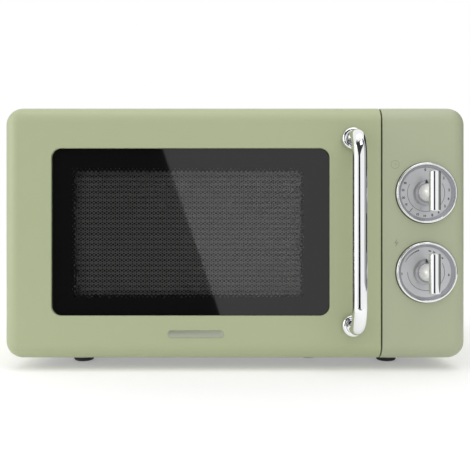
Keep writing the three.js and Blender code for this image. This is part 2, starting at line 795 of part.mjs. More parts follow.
// Transformer: laminated core with two windows, and the winding round its middle.
function transformer() {
  const core = cut(box(128, 212, -25, 25, 15, 85), [
    box(142, 158, -26, 26, 29, 71),
    box(182, 198, -26, 26, 29, 71),
  ]);
  const coil = roundedSlab(142.4, 197.6, 29.5, 70.5, 1, -44, 44, 1);
  const limb = box(157.6, 182.4, -25.4, 25.4, 28, 72);
  return [
    piece("transformer_core", core, blackSteel()),
    piece("transformer_winding", coil.subtract(limb), copperWire()),
  ];
}

// High voltage capacitor: flat oval can lying on the base, two terminals.
function capacitor() {
  const can = new THREE.ExtrudeGeometry(roundedRect(-25, 25, -15, 15, 14.5), {
    depth: 80,
    bevelEnabled: false,
    curveSegments: 6,
  });
  can.rotateY(Math.PI / 2).rotateX(Math.PI / 2).translate(125, 92, 30.5);
  const posts = [-8, 8].map((y) => rod("x", 92 + y, 30.5, 2.5, 204, 213, 12));
  return piece("capacitor", joined([solid(can), ...posts]), satinSilver());
}

// Mains filter board with its coil and box capacitor, above the magnetron.
function filterBoard() {
  const board = box(130, 214, 20, 100, 240, 241.6);
  const ring = turned([[4, 241], [11, 241], [11, 249], [4, 249]], 20, "z", 155, 45, 0);
  const block = box(175, 205, 40, 56, 241, 252);
  const fuse = rod("y", 150, 245, 3, 70, 94, 12);
  const base = box(147, 153, 68, 96, 241, 243);
  return piece("filter_board", joined([board, ring, block, base, fuse]), circuitBoard());
}

// Oven lamp: bulb in its holder behind the cavity wall.
function ovenLamp() {
  const x = CAVITY.x1 + SHEET + 0.4;
  const profile = [
    [0, 0],
    [5, 1],
    [8.5, 6],
    [8.5, 10],
    [6.5, 15],
    [9.5, 16],
    [9.5, 27],
    [0, 27],
  ];
  const body = turned(profile, 20, "z", 0, 0, 0);
  return piece("oven_lamp", body.rotate([0, 90, 0]).translate([x, LAMP.y, LAMP.z]), clearGlass());
}

// Interlock bracket: upright plate that carries the three door switches.
function interlockBracket() {
  const y0 = PLATE_Y + SHEET + GAP;
  const plate = box(137.6, 140, y0, -72, 32, 216);
  const foot = box(112, 138, y0, y0 + 2.2, 120, 140);
  const shelf = box(112, 138, y0, -74, 128, 131);
  return piece("interlock_bracket", joined([plate, foot, shelf]), blackPlastic());
}

// Door switches: small snap switches, each with its sprung plunger.
function doorSwitches() {
  const x0 = 126.8;
  const x1 = 137.3;
  const mid = 131;
  const made = [];
  const facing = [
    ["primary_switch", LATCH.upper + 3],
    ["secondary_switch", LATCH.lower + 3],
  ];
  facing.forEach(([name, z]) => {
    const body = box(x0, x1, -92, -76, z - 14, z + 14);
    const bore = box(mid - 1.8, mid + 1.8, -93, -86, z - 1.8, z + 1.8);
    made.push(piece(name, body.subtract(bore), blackPlastic()));
    const tip = box(mid - 1.5, mid + 1.5, -96.2, -88, z - 1.5, z + 1.5);
    made.push(piece(name + "_plunger", tip, whitePlastic()));
  });
  const body = box(x0, x1, -114, -86, 34, 50);
  const bore = box(mid - 1.8, mid + 1.8, -102.3, -98.7, 43, 51);
  made.push(piece("monitor_switch", body.subtract(bore), blackPlastic()));
  const tip = box(mid - 1.5, mid + 1.5, -102, -99, 45, 58.2);
  made.push(piece("monitor_switch_plunger", tip, whitePlastic()));
  return made;
}

// Turntable motor under the cavity floor, its shaft up through the floor.
function turntableMotor() {
  const profile = [
    [0, 14],
    [24, 14],
    [24, 28.2],
    [7, 28.2],
    [7, 29.5],
    [3, 29.5],
    [3, 38],
    [0, 38],
  ];
  const body = turned(profile, 28, "z", TABLE_X, TABLE_Y, 0);
  const ear = box(TABLE_X - 32, TABLE_X + 32, TABLE_Y - 6, TABLE_Y + 6, 26.2, 28.2);
  return piece("turntable_motor", body.add(ear), zincSteel());
}

// Three-lobed coupler that drives the tray.
function turntableCoupler() {
  const lobes = 3;
  const bodies = [rod("z", TABLE_X, TABLE_Y, 8, 30.6, 44.2, 20)];
  for (let i = 0; i < lobes; i += 1) {
    const a = (i * Math.PI * 2) / lobes;
    const x = TABLE_X + 9 * Math.cos(a);
    const y = TABLE_Y + 9 * Math.sin(a);
    bodies.push(rod("z", x, y, 4.5, 34, 44.2, 14));
  }
  const bore = rod("z", TABLE_X, TABLE_Y, 3.4, 30, 39, 20);
  return piece("turntable_coupler", joined(bodies).subtract(bore), whitePlastic());
}

// Glass tray: shallow dish with a raised rim.
function glassTray() {
  const z = CAVITY.z0 + GAP + 2 * ROLLER_R + GAP;
  const profile = [
    [0, z],
    [104, z],
    [112, z + 2],
    [TRAY_R, z + 13],
    [TRAY_R - 1.5, z + 14.5],
    [TRAY_R - 5, z + 13],
    [110, z + 6],
    [103, z + 4.5],
    [0, z + 4.5],
  ];
  return piece("glass_tray", turned(profile, 40, "z", TABLE_X, TABLE_Y, 0), clearGlass());
}

// Roller ring: plastic hoop with three stub axles and a wheel on each.
function rollerSet() {
  const z = CAVITY.z0 + GAP + ROLLER_R;
  const hoop = turned([[82, z - 3], [88, z - 3], [88, z + 3], [82, z + 3]], 36, "z", 0, 0, 0);
  const axle = rod("x", 0, z, 1.8, 87, ROLLER_TRACK + 6, 12);
  const wheel = [[2.1, -4], [6, -4], [ROLLER_R, -3], [ROLLER_R, 3], [6, 4], [2.1, 4]];
  const wheelBody = turned(wheel, 20, "z", 0, 0, 0).rotate([0, 90, 0]);
  const set = new THREE.Group();
  set.name = "roller_set";
  set.position.set(TABLE_X, TABLE_Y, 0);
  let ring = hoop;
  for (let i = 0; i < 3; i += 1) {
    const turn = 90 + i * 120;
    ring = ring.add(axle.rotate([0, 0, turn]));
    const roller = wheelBody.translate([ROLLER_TRACK, 0, z]).rotate([0, 0, turn]);
    set.add(piece("roller_" + (i + 1), roller, whitePlastic()));
  }
  set.add(piece("roller_ring", ring, whitePlastic()));
  return set;
}

function group(name, members) {
  const made = new THREE.Group();
  made.name = name;
  made.add(...members);
  return made;
}

const oven = group("microwave_oven", [
  group("cabinet", [outerCabinet(), basePlate(), rearPanel(), cordGland(), ...feet()]),
  group("cavity", [cavityShell(), cavityFrontPlate(), waveguideCover(), ...hingeBrackets()]),
  group("turntable", [turntableMotor(), turntableCoupler(), glassTray(), rollerSet()]),
  group("door", [
    doorFrame(),
    doorGlass(),
    doorScreen(),
    chokeFrame(),
    chokeCover(),
    doorInnerPane(),
    latchHooks(),
    latchSpring(),
    handleBar(),
    ...handleFerrules(),
  ]),
  group("controls", [
    controlPanel(),
    ...bezels(),
    ...dialPlates(),
    timerUnit(),
    powerSelector(),
    gripKnob("timer_knob", TIMER_Z),
    gripKnob("power_knob", POWER_Z),
    spindle("timer_spindle", TIMER_Z),
    spindle("power_spindle", POWER_Z),
  ]),
  group("power_bay", [
    magnetron(),
    waveguide(),
    fanShroud(),
    fanMotor(),
    fanBlade(),
    ...transformer(),
    capacitor(),
    filterBoard(),
    ovenLamp(),
    interlockBracket(),
    ...doorSwitches(),
  ]),
]);

export default oven;
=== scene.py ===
import math

import bmesh
import bpy
import numpy as np
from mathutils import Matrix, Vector
from mathutils.geometry import delaunay_2d_cdt


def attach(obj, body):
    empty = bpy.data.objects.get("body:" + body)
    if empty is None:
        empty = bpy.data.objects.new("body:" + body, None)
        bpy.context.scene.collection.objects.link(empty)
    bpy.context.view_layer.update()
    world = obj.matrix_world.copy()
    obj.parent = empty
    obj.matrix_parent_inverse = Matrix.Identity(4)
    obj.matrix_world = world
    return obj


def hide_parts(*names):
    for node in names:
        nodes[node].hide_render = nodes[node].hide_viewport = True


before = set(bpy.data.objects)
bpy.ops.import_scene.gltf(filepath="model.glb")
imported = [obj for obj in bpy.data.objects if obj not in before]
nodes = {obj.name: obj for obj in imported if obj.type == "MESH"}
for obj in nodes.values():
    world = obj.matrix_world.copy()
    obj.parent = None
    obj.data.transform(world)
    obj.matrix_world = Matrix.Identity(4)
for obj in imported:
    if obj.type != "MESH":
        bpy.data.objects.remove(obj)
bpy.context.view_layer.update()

# ---------------------------------------------------------------- Moulded front
# Door frame and control panel are two halves of one moulded front, split by a
# narrow seam. Both are moulded plastic, sprayed sage green and lacquered, with
# one large rounding round the outside and a small one at the seam.
MM = 0.001
LEFT, RIGHT, BOTTOM, TOP = -225.5, 225.5, 11.5, 257.5
FACE = -149.0
DOOR_BACK = -119.0
PANEL_BACK = -117.5
EDGE_R = 16.0
CORNER_R = 17.0
SEAM = 141.8
SEAM_HALF = 0.75
SEAM_R = 0.7
HINGE = (-213.5, -131.0)
HINGE_R = 12.0
SKIN = 3.0
KNOB_X, TIMER_Z, POWER_Z = 184.5, 173.1, 96.6
DIALS = (("timer", TIMER_Z), ("power", POWER_Z))
DIAL_BORE = 28.5
WALL = 3.5  # side walls of both mouldings
RIM = 4.3  # their top and bottom walls
STEP_IN = 12.5  # edge of the hollow behind the face
STEP_DEPTH = 11
LIP_R = 0.6  # rounding round an opening in the face
SEAM_CORNER = 0.6  # corners of both halves at the seam


def grid(points, wrap_u=False, wrap_v=False):
    """Patch from points[v, u, 3]: a quad between each four neighbours."""
    rows, cols = points.shape[:2]
    ids = np.arange(rows * cols).reshape(rows, cols)
    if wrap_u:
        ids = np.concatenate([ids, ids[:, :1]], 1)
    if wrap_v:
        ids = np.concatenate([ids, ids[:1]], 0)
    quads = np.stack([ids[:-1, :-1], ids[:-1, 1:], ids[1:, 1:], ids[1:, :-1]], -1)
    return points.reshape(-1, 3), quads.reshape(-1, 4)


def inside(points, loop):
    """True for each point of an (n, 2) array that lies inside the closed loop."""
    a, b = loop, np.roll(loop, -1, 0)
    px, py = points[:, None, 0], points[:, None, 1]
    over = (a[None, :, 1] > py) != (b[None, :, 1] > py)
    rise = b[:, 1] - a[:, 1]
    rise = np.where(np.abs(rise) < 1e-12, 1e-12, rise)
    cross = a[None, :, 0] + (py - a[None, :, 1]) / rise[None] * (b[:, 0] - a[:, 0])[None]
    return (over & (px < cross)).sum(1) % 2 == 1


def flat_fill(outer, holes, y):
    """Triangles of the flat face at depth y between an x, z loop and its holes."""
    loops = [outer, *holes]
    flat = np.concatenate(loops)
    edges, at = [], 0
    for loop in loops:
        k = np.arange(len(loop))
        edges += (np.stack([k, (k + 1) % len(loop)], 1) + at).tolist()
        at += len(loop)
    made = delaunay_2d_cdt([Vector(p) for p in flat.tolist()], edges, [], 0, 1e-6)
    plane = np.array([tuple(v) for v in made[0]])
    tris = np.array([f for f in made[2] if len(f) == 3])
    mid = plane[tris].mean(1)
    keep = inside(mid, outer)
    for hole in holes:
        keep &= ~inside(mid, hole)
    points = np.stack([plane[:, 0], np.full(len(plane), y), plane[:, 1]], 1)
    return points, tris[keep]


def build(name, patches, sharp=35.0, unit=MM):
    """One closed mesh from patches in millimetres, joined where rims share points."""
    points = np.concatenate([p for p, _ in patches]) * unit
    starts = np.cumsum([0] + [len(p) for p, _ in patches])
    _, first, same = np.unique(
        np.round(points, 7), axis=0, return_index=True, return_inverse=True
    )
    same = same.reshape(-1)
    faces = []
    for (_, f), start in zip(patches, starts):
        f = same[f + start]
        turned = np.roll(f, -1, 1)
        repeats = (f == turned).sum(1)
        faces += f[repeats == 0].tolist()
        thin = f[repeats == 1]
        if f.shape[1] == 4 and len(thin):
            keep = thin != np.roll(thin, -1, 1)
            faces += thin[keep].reshape(-1, 3).tolist()
    mesh = bpy.data.meshes.new(name)
    mesh.from_pydata(points[first].tolist(), [], faces)
    mesh.validate()
    mesh.update()
    bm = bmesh.new()
    bm.from_mesh(mesh)
    bmesh.ops.recalc_face_normals(bm, faces=bm.faces)
    bm.to_mesh(mesh)
    bm.free()
    mesh.shade_smooth()
    mesh.set_sharp_from_angle(angle=math.radians(sharp))
    obj = bpy.data.objects.new(name, mesh)
    bpy.context.collection.objects.link(obj)
    return obj


def outline(x0, x1, z0, z1, r_left, r_right, steps=12):
    """Closed x, z loop of a rectangle whose left and right corners have own radii."""
    turn = np.linspace(0, math.pi / 2, steps + 1)
    corners = [
        (x1 - r_right, z0 + r_right, r_right, -math.pi / 2),
        (x1 - r_right, z1 - r_right, r_right, 0),
        (x0 + r_left, z1 - r_left, r_left, math.pi / 2),
        (x0 + r_left, z0 + r_left, r_left, math.pi),
    ]
    arcs = [
        np.stack([cx + r * np.cos(turn + a), cz + r * np.sin(turn + a)], 1)
        for cx, cz, r, a in corners
    ]
    return np.concatenate(arcs)


def at_depth(loop, y):
    """x, z loop set at depth y."""
    y = np.broadcast_to(np.asarray(y, float), (len(loop),))
    return np.stack([loop[:, 0], y, loop[:, 1]], 1)


def circle(x, z, r, steps=96):
    a = np.linspace(0, 2 * math.pi, steps, endpoint=False)
    return np.stack([x + r * np.cos(a), z + r * np.sin(a)], 1)


def moulding(name, x0, x1, seam_right, back, holes):
    """Half of the front. Ring at fillet angle a: inset R(1 - sin a) at depth
    R(1 - cos a) on three sides; the seam side stays put but for a small round."""
    def ring(inset, y, corner, seam_shift):
        if seam_right:
            sides, radii = (x0 + inset, x1 - seam_shift), (corner, SEAM_CORNER)
        else:
            sides, radii = (x0 + seam_shift, x1 - inset), (SEAM_CORNER, corner)
        return outline(*sides, BOTTOM + inset, TOP - inset, *radii)

    angles = np.radians([0, 4, 8, 12, 17, 23, 30, 38, 46, 54, 62, 70, 80, 90])
    rings = []
    for a in angles:
        inset = EDGE_R * (1 - math.sin(a))
        deep = EDGE_R * (1 - math.cos(a))
        lag = max(SEAM_R - deep, 0.0)
        shift = SEAM_R - math.sqrt(SEAM_R**2 - lag**2)
        rings.append(at_depth(ring(inset, deep, CORNER_R - inset, shift), FACE + deep))
    if seam_right:
        for b in np.radians(np.linspace(0, 90, 9)):
            loop = ring(0, 0, CORNER_R, 0)
            loop[:, 0] = np.maximum(loop[:, 0], x0 + HINGE_R * (1 - math.cos(b)))
            rings.append(at_depth(loop, HINGE[1] + HINGE_R * math.sin(b)))
        column = HINGE[0] + 5
        inner = outline(column, x1 - WALL, BOTTOM + RIM, TOP - RIM, 2, 2)
        deep_inner = outline(column, x1 - WALL, BOTTOM + STEP_IN, TOP - STEP_IN, 2, 2)
    else:
        rings.append(at_depth(ring(0, 0, CORNER_R, 0), back - 0.5))
        rings.append(at_depth(ring(0.4, 0, CORNER_R - 0.4, 0), back))
        inner = outline(x0 + WALL, x1 - 3.7, BOTTOM + RIM, TOP - RIM, 2, 13)
        deep_inner = outline(x0 + WALL, x1 - 11.5, BOTTOM + STEP_IN, TOP - STEP_IN, 2, 4)
    in_face = FACE + SKIN
    shelf = FACE + STEP_DEPTH
    rings += [at_depth(inner, back), at_depth(inner, shelf), at_depth(deep_inner, shelf)]
    rings.append(at_depth(deep_inner, in_face))
    # A flat margin keeps the shading of the roundings off the face.
    margin = 0.4
    flat_from = EDGE_R + margin
    support = at_depth(ring(flat_from, 0, CORNER_R - flat_from, SEAM_R + margin), FACE)
    patches = [grid(np.stack([support] + rings), wrap_u=True)]
    fronts, backs = [], []
    for grow in holes:
        walls = [at_depth(grow(LIP_R + margin), FACE)]
        for b in np.radians(np.linspace(0, 90, 5)):
            loop = grow(LIP_R * (1 - math.sin(b)))
            walls.append(at_depth(loop, FACE + LIP_R * (1 - math.cos(b))))
        walls.append(at_depth(grow(0), in_face))
        patches.append(grid(np.stack(walls), wrap_u=True))
        fronts.append(grow(LIP_R + margin))
        backs.append(grow(0))
    patches.append(flat_fill(support[:, [0, 2]], fronts, FACE))
    patches.append(flat_fill(deep_inner, backs, in_face))
    return build(name, patches)


def carve(obj, boxes, rods=(), bores=()):
    """Cuts boxes ((low), (high)), upright rods (x, y, r, z0, z1) and bores from the
    front (x, z, r, y0, y1) out of a piece."""
    shape = np.array([[0, 0], [1, 0], [1, 1], [0, 1]])
    patches = []
    for low, high in boxes:
        low, high = np.array(low, float), np.array(high, float)
        xz = low[[0, 2]] + shape * (high - low)[[0, 2]]
        rows = [at_depth(xz, low[1]), at_depth(xz, high[1])]
        patches.append(capped(np.stack(rows)))
    for x, y, r, z0, z1 in rods:
        a = np.linspace(0, 2 * math.pi, 32, endpoint=False)
        ring = np.stack([x + r * np.cos(a), y + r * np.sin(a), a * 0], 1)
        patches.append(capped(np.stack([ring + [0, 0, z0], ring + [0, 0, z1]])))
    for x, z, r, y0, y1 in bores:
        loop = circle(x, z, r)
        patches.append(capped(np.stack([at_depth(loop, y0), at_depth(loop, y1)])))
    patches = [p for pair in patches for p in pair]
    tool = build(obj.name + "_cutter", patches)
    cut = obj.modifiers.new("cut", "BOOLEAN")
    cut.object, cut.operation, cut.solver = tool, "DIFFERENCE", "EXACT"
    cut.use_self = True
    bpy.context.view_layer.update()
    ready = obj.evaluated_get(bpy.context.evaluated_depsgraph_get())
    mesh = bpy.data.meshes.new_from_object(ready)
    old = obj.data
    obj.modifiers.clear()
    obj.data = mesh
    mesh.name = obj.name
    bpy.data.meshes.remove(old)
    bpy.data.objects.remove(tool)
    mesh.shade_smooth()
    mesh.set_sharp_from_angle(angle=math.radians(35))
    return obj


def capped(rows):
    """Patches of a tube of rings[v, u, 3] with a fan of triangles at each end."""
    made = [grid(rows, wrap_u=True)]
    for ring in (rows[0], rows[-1]):
        n = len(ring)
        points = np.concatenate([ring, ring.mean(0, keepdims=True)])
        k = np.arange(n)
        made.append((points, np.stack([k, (k + 1) % n, np.full(n, n)], 1)))
    return made


def finish(
    name,
    colour,
    rough,
    metal=0.0,
    vary=0.02,
    blotch=25.0,
    grain=900.0,
    depth=0.01,
    stretch=(1, 1, 1),
    rough_vary=0.15,
    bands=None,
    speck=None,
    clear=0.0,
):
    """Principled finish. Object-space noise moves colour, roughness and height;
    bands = (axis, pitch mm, depth mm, dark share) adds parallel ridges with darkened
    valleys and speck = (colour, scale, share) scatters flecks. Depths are in millimetres."""
    mat = bpy.data.materials.new(name)
    mat.use_nodes = True
    tree = mat.node_tree
    shader = tree.nodes["Principled BSDF"]
    shader.inputs["Metallic"].default_value = metal
    shader.inputs["Transmission Weight"].default_value = clear
    place = tree.nodes.new("ShaderNodeTexCoord")
    turn = tree.nodes.new("ShaderNodeMapping")
    turn.inputs["Scale"].default_value = stretch
    tree.links.new(place.outputs["Object"], turn.inputs["Vector"])

    def noise(scale, detail):
        n = tree.nodes.new("ShaderNodeTexNoise")
        n.inputs["Scale"].default_value = scale
        n.inputs["Detail"].default_value = detail
        tree.links.new(turn.outputs["Vector"], n.inputs["Vector"])
        return n.outputs["Fac"]

    def spread(value, start, end, low, high):
        n = tree.nodes.new("ShaderNodeMapRange")
        n.inputs["From Min"].default_value = start
        n.inputs["From Max"].default_value = end
        n.inputs["To Min"].default_value = low
        n.inputs["To Max"].default_value = high
        tree.links.new(value, n.inputs["Value"])
        return n.outputs["Result"]

    def blend(factor, first, second):
        n = tree.nodes.new("ShaderNodeMix")
        n.data_type = "RGBA"
        tree.links.new(factor, n.inputs["Factor"])
        for value, socket in ((first, n.inputs["A"]), (second, n.inputs["B"])):
            if isinstance(value, bpy.types.NodeSocket):
                tree.links.new(value, socket)
            else:
                socket.default_value = [*(min(c, 1) for c in value), 1]
        return n.outputs["Result"]

    def bump(height, mm, under=None):
        n = tree.nodes.new("ShaderNodeBump")
        n.inputs["Distance"].default_value = mm * MM
        tree.links.new(height, n.inputs["Height"])
        if under:
            tree.links.new(under, n.inputs["Normal"])
        return n.outputs["Normal"]

    low = [c * (1 - vary) for c in colour]
    high = [c * (1 + vary) for c in colour]
    tint = blend(noise(blotch, 4), low, high)
    normal = bump(noise(grain, 2), depth)
    if bands:
        axis, pitch, ridge, dark = bands
        wave = tree.nodes.new("ShaderNodeTexWave")
        wave.bands_direction = axis
        wave.inputs["Scale"].default_value = math.pi / (10 * pitch * MM)
        tree.links.new(place.outputs["Object"], wave.inputs["Vector"])
        normal = bump(wave.outputs["Fac"], ridge, normal)
        # The valleys between ridges are darkened: painted shade in the gaps between fins and
        # between turns of wire, and the dark joints between laminations.
        tint = blend(spread(wave.outputs["Fac"], 0.4, 0.0, 0, dark), tint, [0.01] * 3)
    if speck:
        fleck, scale, share = speck
        tint = blend(spread(noise(scale, 1), 0.72 - share, 0.74 - share, 0, 1), tint, fleck)
    soft = spread(
        noise(blotch * 3, 3), 0.3, 0.7, rough * (1 - rough_vary), rough * (1 + rough_vary)
    )
    tree.links.new(tint, shader.inputs["Base Color"])
    tree.links.new(soft, shader.inputs["Roughness"])
    tree.links.new(normal, shader.inputs["Normal"])
    return mat


def dress(obj, mat):
    obj.data.materials.clear()
    obj.data.materials.append(mat)
    return obj


WINDOW = (-177.6, 91.6, 54.4, 216.4, 9.5)


def window_loop(grow):
    x0, x1, z0, z1, r = WINDOW
    r += grow
    return outline(x0 - grow, x1 + grow, z0 - grow, z1 + grow, r, r)


sage = finish("sage_paint", (0.362, 0.402, 0.240), 0.42, vary=0.008, grain=1500, depth=0.004)
sage_panel = finish(
    "sage_paint_panel", (0.368, 0.400, 0.266), 0.42, vary=0.008, grain=1500, depth=0.004
)

door = moulding("door_moulding", LEFT, SEAM - SEAM_HALF, True, DOOR_BACK, [window_loop])
# Slots for the hinge brackets' tabs, and the bores that their pins stand in.
TABS = [(18.3, 21.9), (247.1, 250.7)]
PIN_R, PINS = 2.9, [(21.7, 32.6), (236.4, 247.3)]
carve(
    door,
    [((LEFT - 5, HINGE[1] - 5.6, a), (HINGE[0] + 4.5, DOOR_BACK + 2, b)) for a, b in TABS],
    [(*HINGE, PIN_R, a, b) for a, b in PINS],
)
dress(door, sage)
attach(door, "door")
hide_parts("door_frame")

panel = moulding("panel_moulding", SEAM + SEAM_HALF, RIGHT, False, PANEL_BACK, [])
carve(panel, [], bores=[(KNOB_X, z, DIAL_BORE, FACE - 3, FACE + 7) for _, z in DIALS])
dress(panel, sage_panel)
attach(panel, "oven")
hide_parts("control_panel")

# ---------------------------------------------------------------- Window glass
# A pane of float glass behind the front skin, printed black on its face: solid
# round a clear area, then a fading edge of clear dots, then a close field of
# black dots over the whole clear area. It is clipped against the skin.
PANE = (-183.6, 97.6, 48.4, 222.4)
PANE_R, PANE_THICK, PANE_GAP = 12, 3, 0.3
glass_y = FACE + SKIN + PANE_GAP
pane_edge = [(0.6, 0), (0.15, 0.15), (0, 0.6), (0, 2.4), (0.15, 2.85), (0.6, PANE_THICK)]
rows = []
for inset, y in pane_edge:
    x0, x1, z0, z1 = PANE
    r = PANE_R - inset
    loop = outline(x0 + inset, x1 - inset, z0 + inset, z1 - inset, r, r)
    rows.append(at_depth(loop, glass_y + y))
pane = build(
    "window_pane",
    [
        grid(np.stack(rows), wrap_u=True),
        flat_fill(rows[0][:, [0, 2]], [], glass_y),
        flat_fill(rows[-1][:, [0, 2]], [], glass_y + PANE_THICK),
    ],
    sharp=10,
)
CLEAR = (-45.5, 134.0, 107.0, 57.4)  # centre and half sizes of the clear area
FADE = 6.5  # width of its fading edge
SPOT_R = 2.15  # radius at which the clear spots have run together
DOT_CELL, DOT_START = (4.153, 5.073), (-156.7, 71.3)
# Each dot: place within the cell and radius.
DOTS = [(0.25, 0.25, 1.05), (0.25, 0.75, 0.5), (0.75, 0.0, 0.84), (0.75, 0.5, 0.84)]


def printed_glass():
    """Black print: solid beyond a fading edge of clear spots, whose radius falls
    with the distance out, and a close field of black dots inside it."""
    mat = bpy.data.materials.new("printed_glass")
    mat.use_nodes = True
    tree = mat.node_tree
    tree.nodes.clear()

    def put(value, socket):
        if isinstance(value, (int, float)):
            socket.default_value = value
        else:
            tree.links.new(value, socket)

    def calc(op, a, b=0.0):
        n = tree.nodes.new("ShaderNodeMath")
        n.operation = op
        put(a, n.inputs[0])
        put(b, n.inputs[1])
        return n.outputs[0]

    place = tree.nodes.new("ShaderNodeTexCoord")
    axes = tree.nodes.new("ShaderNodeSeparateXYZ")
    tree.links.new(place.outputs["Object"], axes.inputs[0])
    x = calc("MULTIPLY", axes.outputs[0], 1000.0)
    z = calc("MULTIPLY", axes.outputs[2], 1000.0)
    cx, cz, hx, hz = CLEAR
    out_x = calc("SUBTRACT", calc("ABSOLUTE", calc("SUBTRACT", x, cx)), hx)
    out_z = calc("SUBTRACT", calc("ABSOLUTE", calc("SUBTRACT", z, cz)), hz)
    out = calc("MAXIMUM", out_x, out_z)
    wide, tall = DOT_CELL

    def spot(along, up):
        """Distance in mm to the nearest dot of one rectangular lattice."""
        u = calc("DIVIDE", calc("SUBTRACT", x, DOT_START[0]), wide)
        v = calc("DIVIDE", calc("SUBTRACT", z, DOT_START[1]), tall)
        u = calc("SUBTRACT", calc("FRACT", calc("ADD", u, 1.5 - along)), 0.5)
        v = calc("SUBTRACT", calc("FRACT", calc("ADD", v, 1.5 - up)), 0.5)
        u, v = calc("MULTIPLY", u, wide), calc("MULTIPLY", v, tall)
        return calc("SQRT", calc("ADD", calc("MULTIPLY", u, u), calc("MULTIPLY", v, v)))

    dots = 0.0
    for along, up, radius in DOTS:
        dots = calc("MAXIMUM", calc("LESS_THAN", spot(along, up), radius), dots)
    dots = calc("MULTIPLY", dots, calc("LESS_THAN", out, 0.3))
    near = calc("MINIMUM", spot(0.25, 0.25), spot(0.75, 0.75))
    hole = calc("MULTIPLY", calc("SUBTRACT", FADE, out), SPOT_R / FADE)
    border = calc("GREATER_THAN", near, hole)
    face = calc("LESS_THAN", axes.outputs[1], (glass_y + PANE_THICK / 2) * MM)
    # The print lies on the outer face only.
    printed = calc("MULTIPLY", calc("MAXIMUM", border, dots), face)
    ink = tree.nodes.new("ShaderNodeBsdfPrincipled")
    ink.inputs["Base Color"].default_value = (0.0042, 0.0042, 0.0042, 1)
    ink.inputs["Roughness"].default_value = 0.03
    ink.inputs["Specular IOR Level"].default_value = 0.5
    wave = tree.nodes.new("ShaderNodeTexNoise")
    wave.inputs["Scale"].default_value = 14.0
    tree.links.new(place.outputs["Object"], wave.inputs["Vector"])
    bump = tree.nodes.new("ShaderNodeBump")
    bump.inputs["Distance"].default_value = 0.00002
    tree.links.new(wave.outputs["Fac"], bump.inputs["Height"])
    tree.links.new(bump.outputs["Normal"], ink.inputs["Normal"])
    clear = tree.nodes.new("ShaderNodeBsdfTransparent")
    clear.inputs["Color"].default_value = (0.93, 0.93, 0.93, 1)
    shine = tree.nodes.new("ShaderNodeBsdfGlossy")
    shine.inputs["Roughness"].default_value = 0.03
    shine.inputs["Color"].default_value = (1, 1, 1, 1)
    tree.links.new(bump.outputs["Normal"], shine.inputs["Normal"])
    edge = tree.nodes.new("ShaderNodeFresnel")
    edge.inputs["IOR"].default_value = 1.45
    thin = tree.nodes.new("ShaderNodeMixShader")
    tree.links.new(edge.outputs[0], thin.inputs[0])
    tree.links.new(clear.outputs[0], thin.inputs[1])
    tree.links.new(shine.outputs[0], thin.inputs[2])
    mixed = tree.nodes.new("ShaderNodeMixShader")
    tree.links.new(printed, mixed.inputs[0])
    tree.links.new(thin.outputs[0], mixed.inputs[1])
    tree.links.new(ink.outputs[0], mixed.inputs[2])
    end = tree.nodes.new("ShaderNodeOutputMaterial")
    tree.links.new(mixed.outputs[0], end.inputs[0])
    return mat


dress(pane, printed_glass())
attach(pane, "door")
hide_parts("door_glass")

# ---------------------------------------------------------------- Door screen
# Thin steel sheet punched with a close field of holes and painted dark grey,
# held in a plain surround of the same sheet behind the glass.
PITCH = 2.59  # hole to hole up a column
STEP = 2.12  # column to column
HOLE = (0.72, 0.9, 0.5)  # share of the cell: plain column, large and small hole
field = (-160.0, 68.0, 70.0, 197.0)
SCREEN_Y = (-133.0, -132.4)


def punched_sheet():
    """Six-sided cells, each with a six-sided hole of the same shape: columns are a
    step apart and every second one is shifted by half the pitch. Holes of the even
    columns are large and small by turns."""
    x0, x1, z0, z1 = field
    cols = int((x1 - x0) / STEP)
    count = int((z1 - z0) / PITCH)
    i, j = np.meshgrid(np.arange(cols), np.arange(count))
    cx = x0 + STEP * (i + 0.5)
    cz = z0 + PITCH * (j + 0.5 * (i % 2) + 0.5)
    share = np.where(i % 2 == 1, HOLE[0], np.where(j % 2 == 0, HOLE[1], HOLE[2]))
    centre = np.stack([cx.ravel(), cz.ravel()], 1)
    third, half = STEP / 3, PITCH / 2
    spoke = np.array([
        (2 * third, 0), (third, half), (-third, half),
        (-2 * third, 0), (-third, -half), (third, -half),
    ])
    outer = centre[:, None] + spoke[None]
    inner = centre[:, None] + spoke[None] * share.ravel()[:, None, None]

    def lift(flat, y):
        return np.stack([flat[..., 0], np.full(flat.shape[:2], y), flat[..., 1]], -1)

    n = len(centre)
    patches = []
    for low, high in (
        (lift(outer, SCREEN_Y[0]), lift(inner, SCREEN_Y[0])),
        (lift(inner, SCREEN_Y[0]), lift(inner, SCREEN_Y[1])),
        (lift(inner, SCREEN_Y[1]), lift(outer, SCREEN_Y[1])),
    ):
        points = np.concatenate([low.reshape(-1, 3), high.reshape(-1, 3)])
        k = np.arange(6 * n).reshape(n, 6)
        k2 = np.roll(k, -1, 1)
        quads = np.stack([k, k2, k2 + 6 * n, k + 6 * n], -1).reshape(-1, 4)
        patches.append((points, quads))
    keys = np.round(outer.reshape(-1, 2), 4)
    _, same = np.unique(keys, axis=0, return_inverse=True)
    same = same.reshape(n, 6)
    k2 = np.roll(same, -1, 1)
    pair = np.sort(np.stack([same.ravel(), k2.ravel()], 1), 1)
    _, back, times = np.unique(pair, axis=0, return_inverse=True, return_counts=True)
    rim = times[back.reshape(-1)] == 1
    first = outer.reshape(-1, 2)[rim]
    second = np.roll(outer, -1, 1).reshape(-1, 2)[rim]
    m = len(first)
    flat = np.concatenate([first, second, second, first])
    y = np.repeat([SCREEN_Y[0], SCREEN_Y[0], SCREEN_Y[1], SCREEN_Y[1]], m)
    points = np.stack([flat[:, 0], y, flat[:, 1]], 1)
    k = np.arange(m)
    patches.append((points, np.stack([k, k + m, k + 2 * m, k + 3 * m], 1)))
    return build("punched_screen", patches)


screen = punched_sheet()
screen_paint = finish("screen_paint", (0.3, 0.3, 0.298), 0.5, vary=0.05)
dress(screen, screen_paint)
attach(screen, "door")
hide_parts("door_screen")

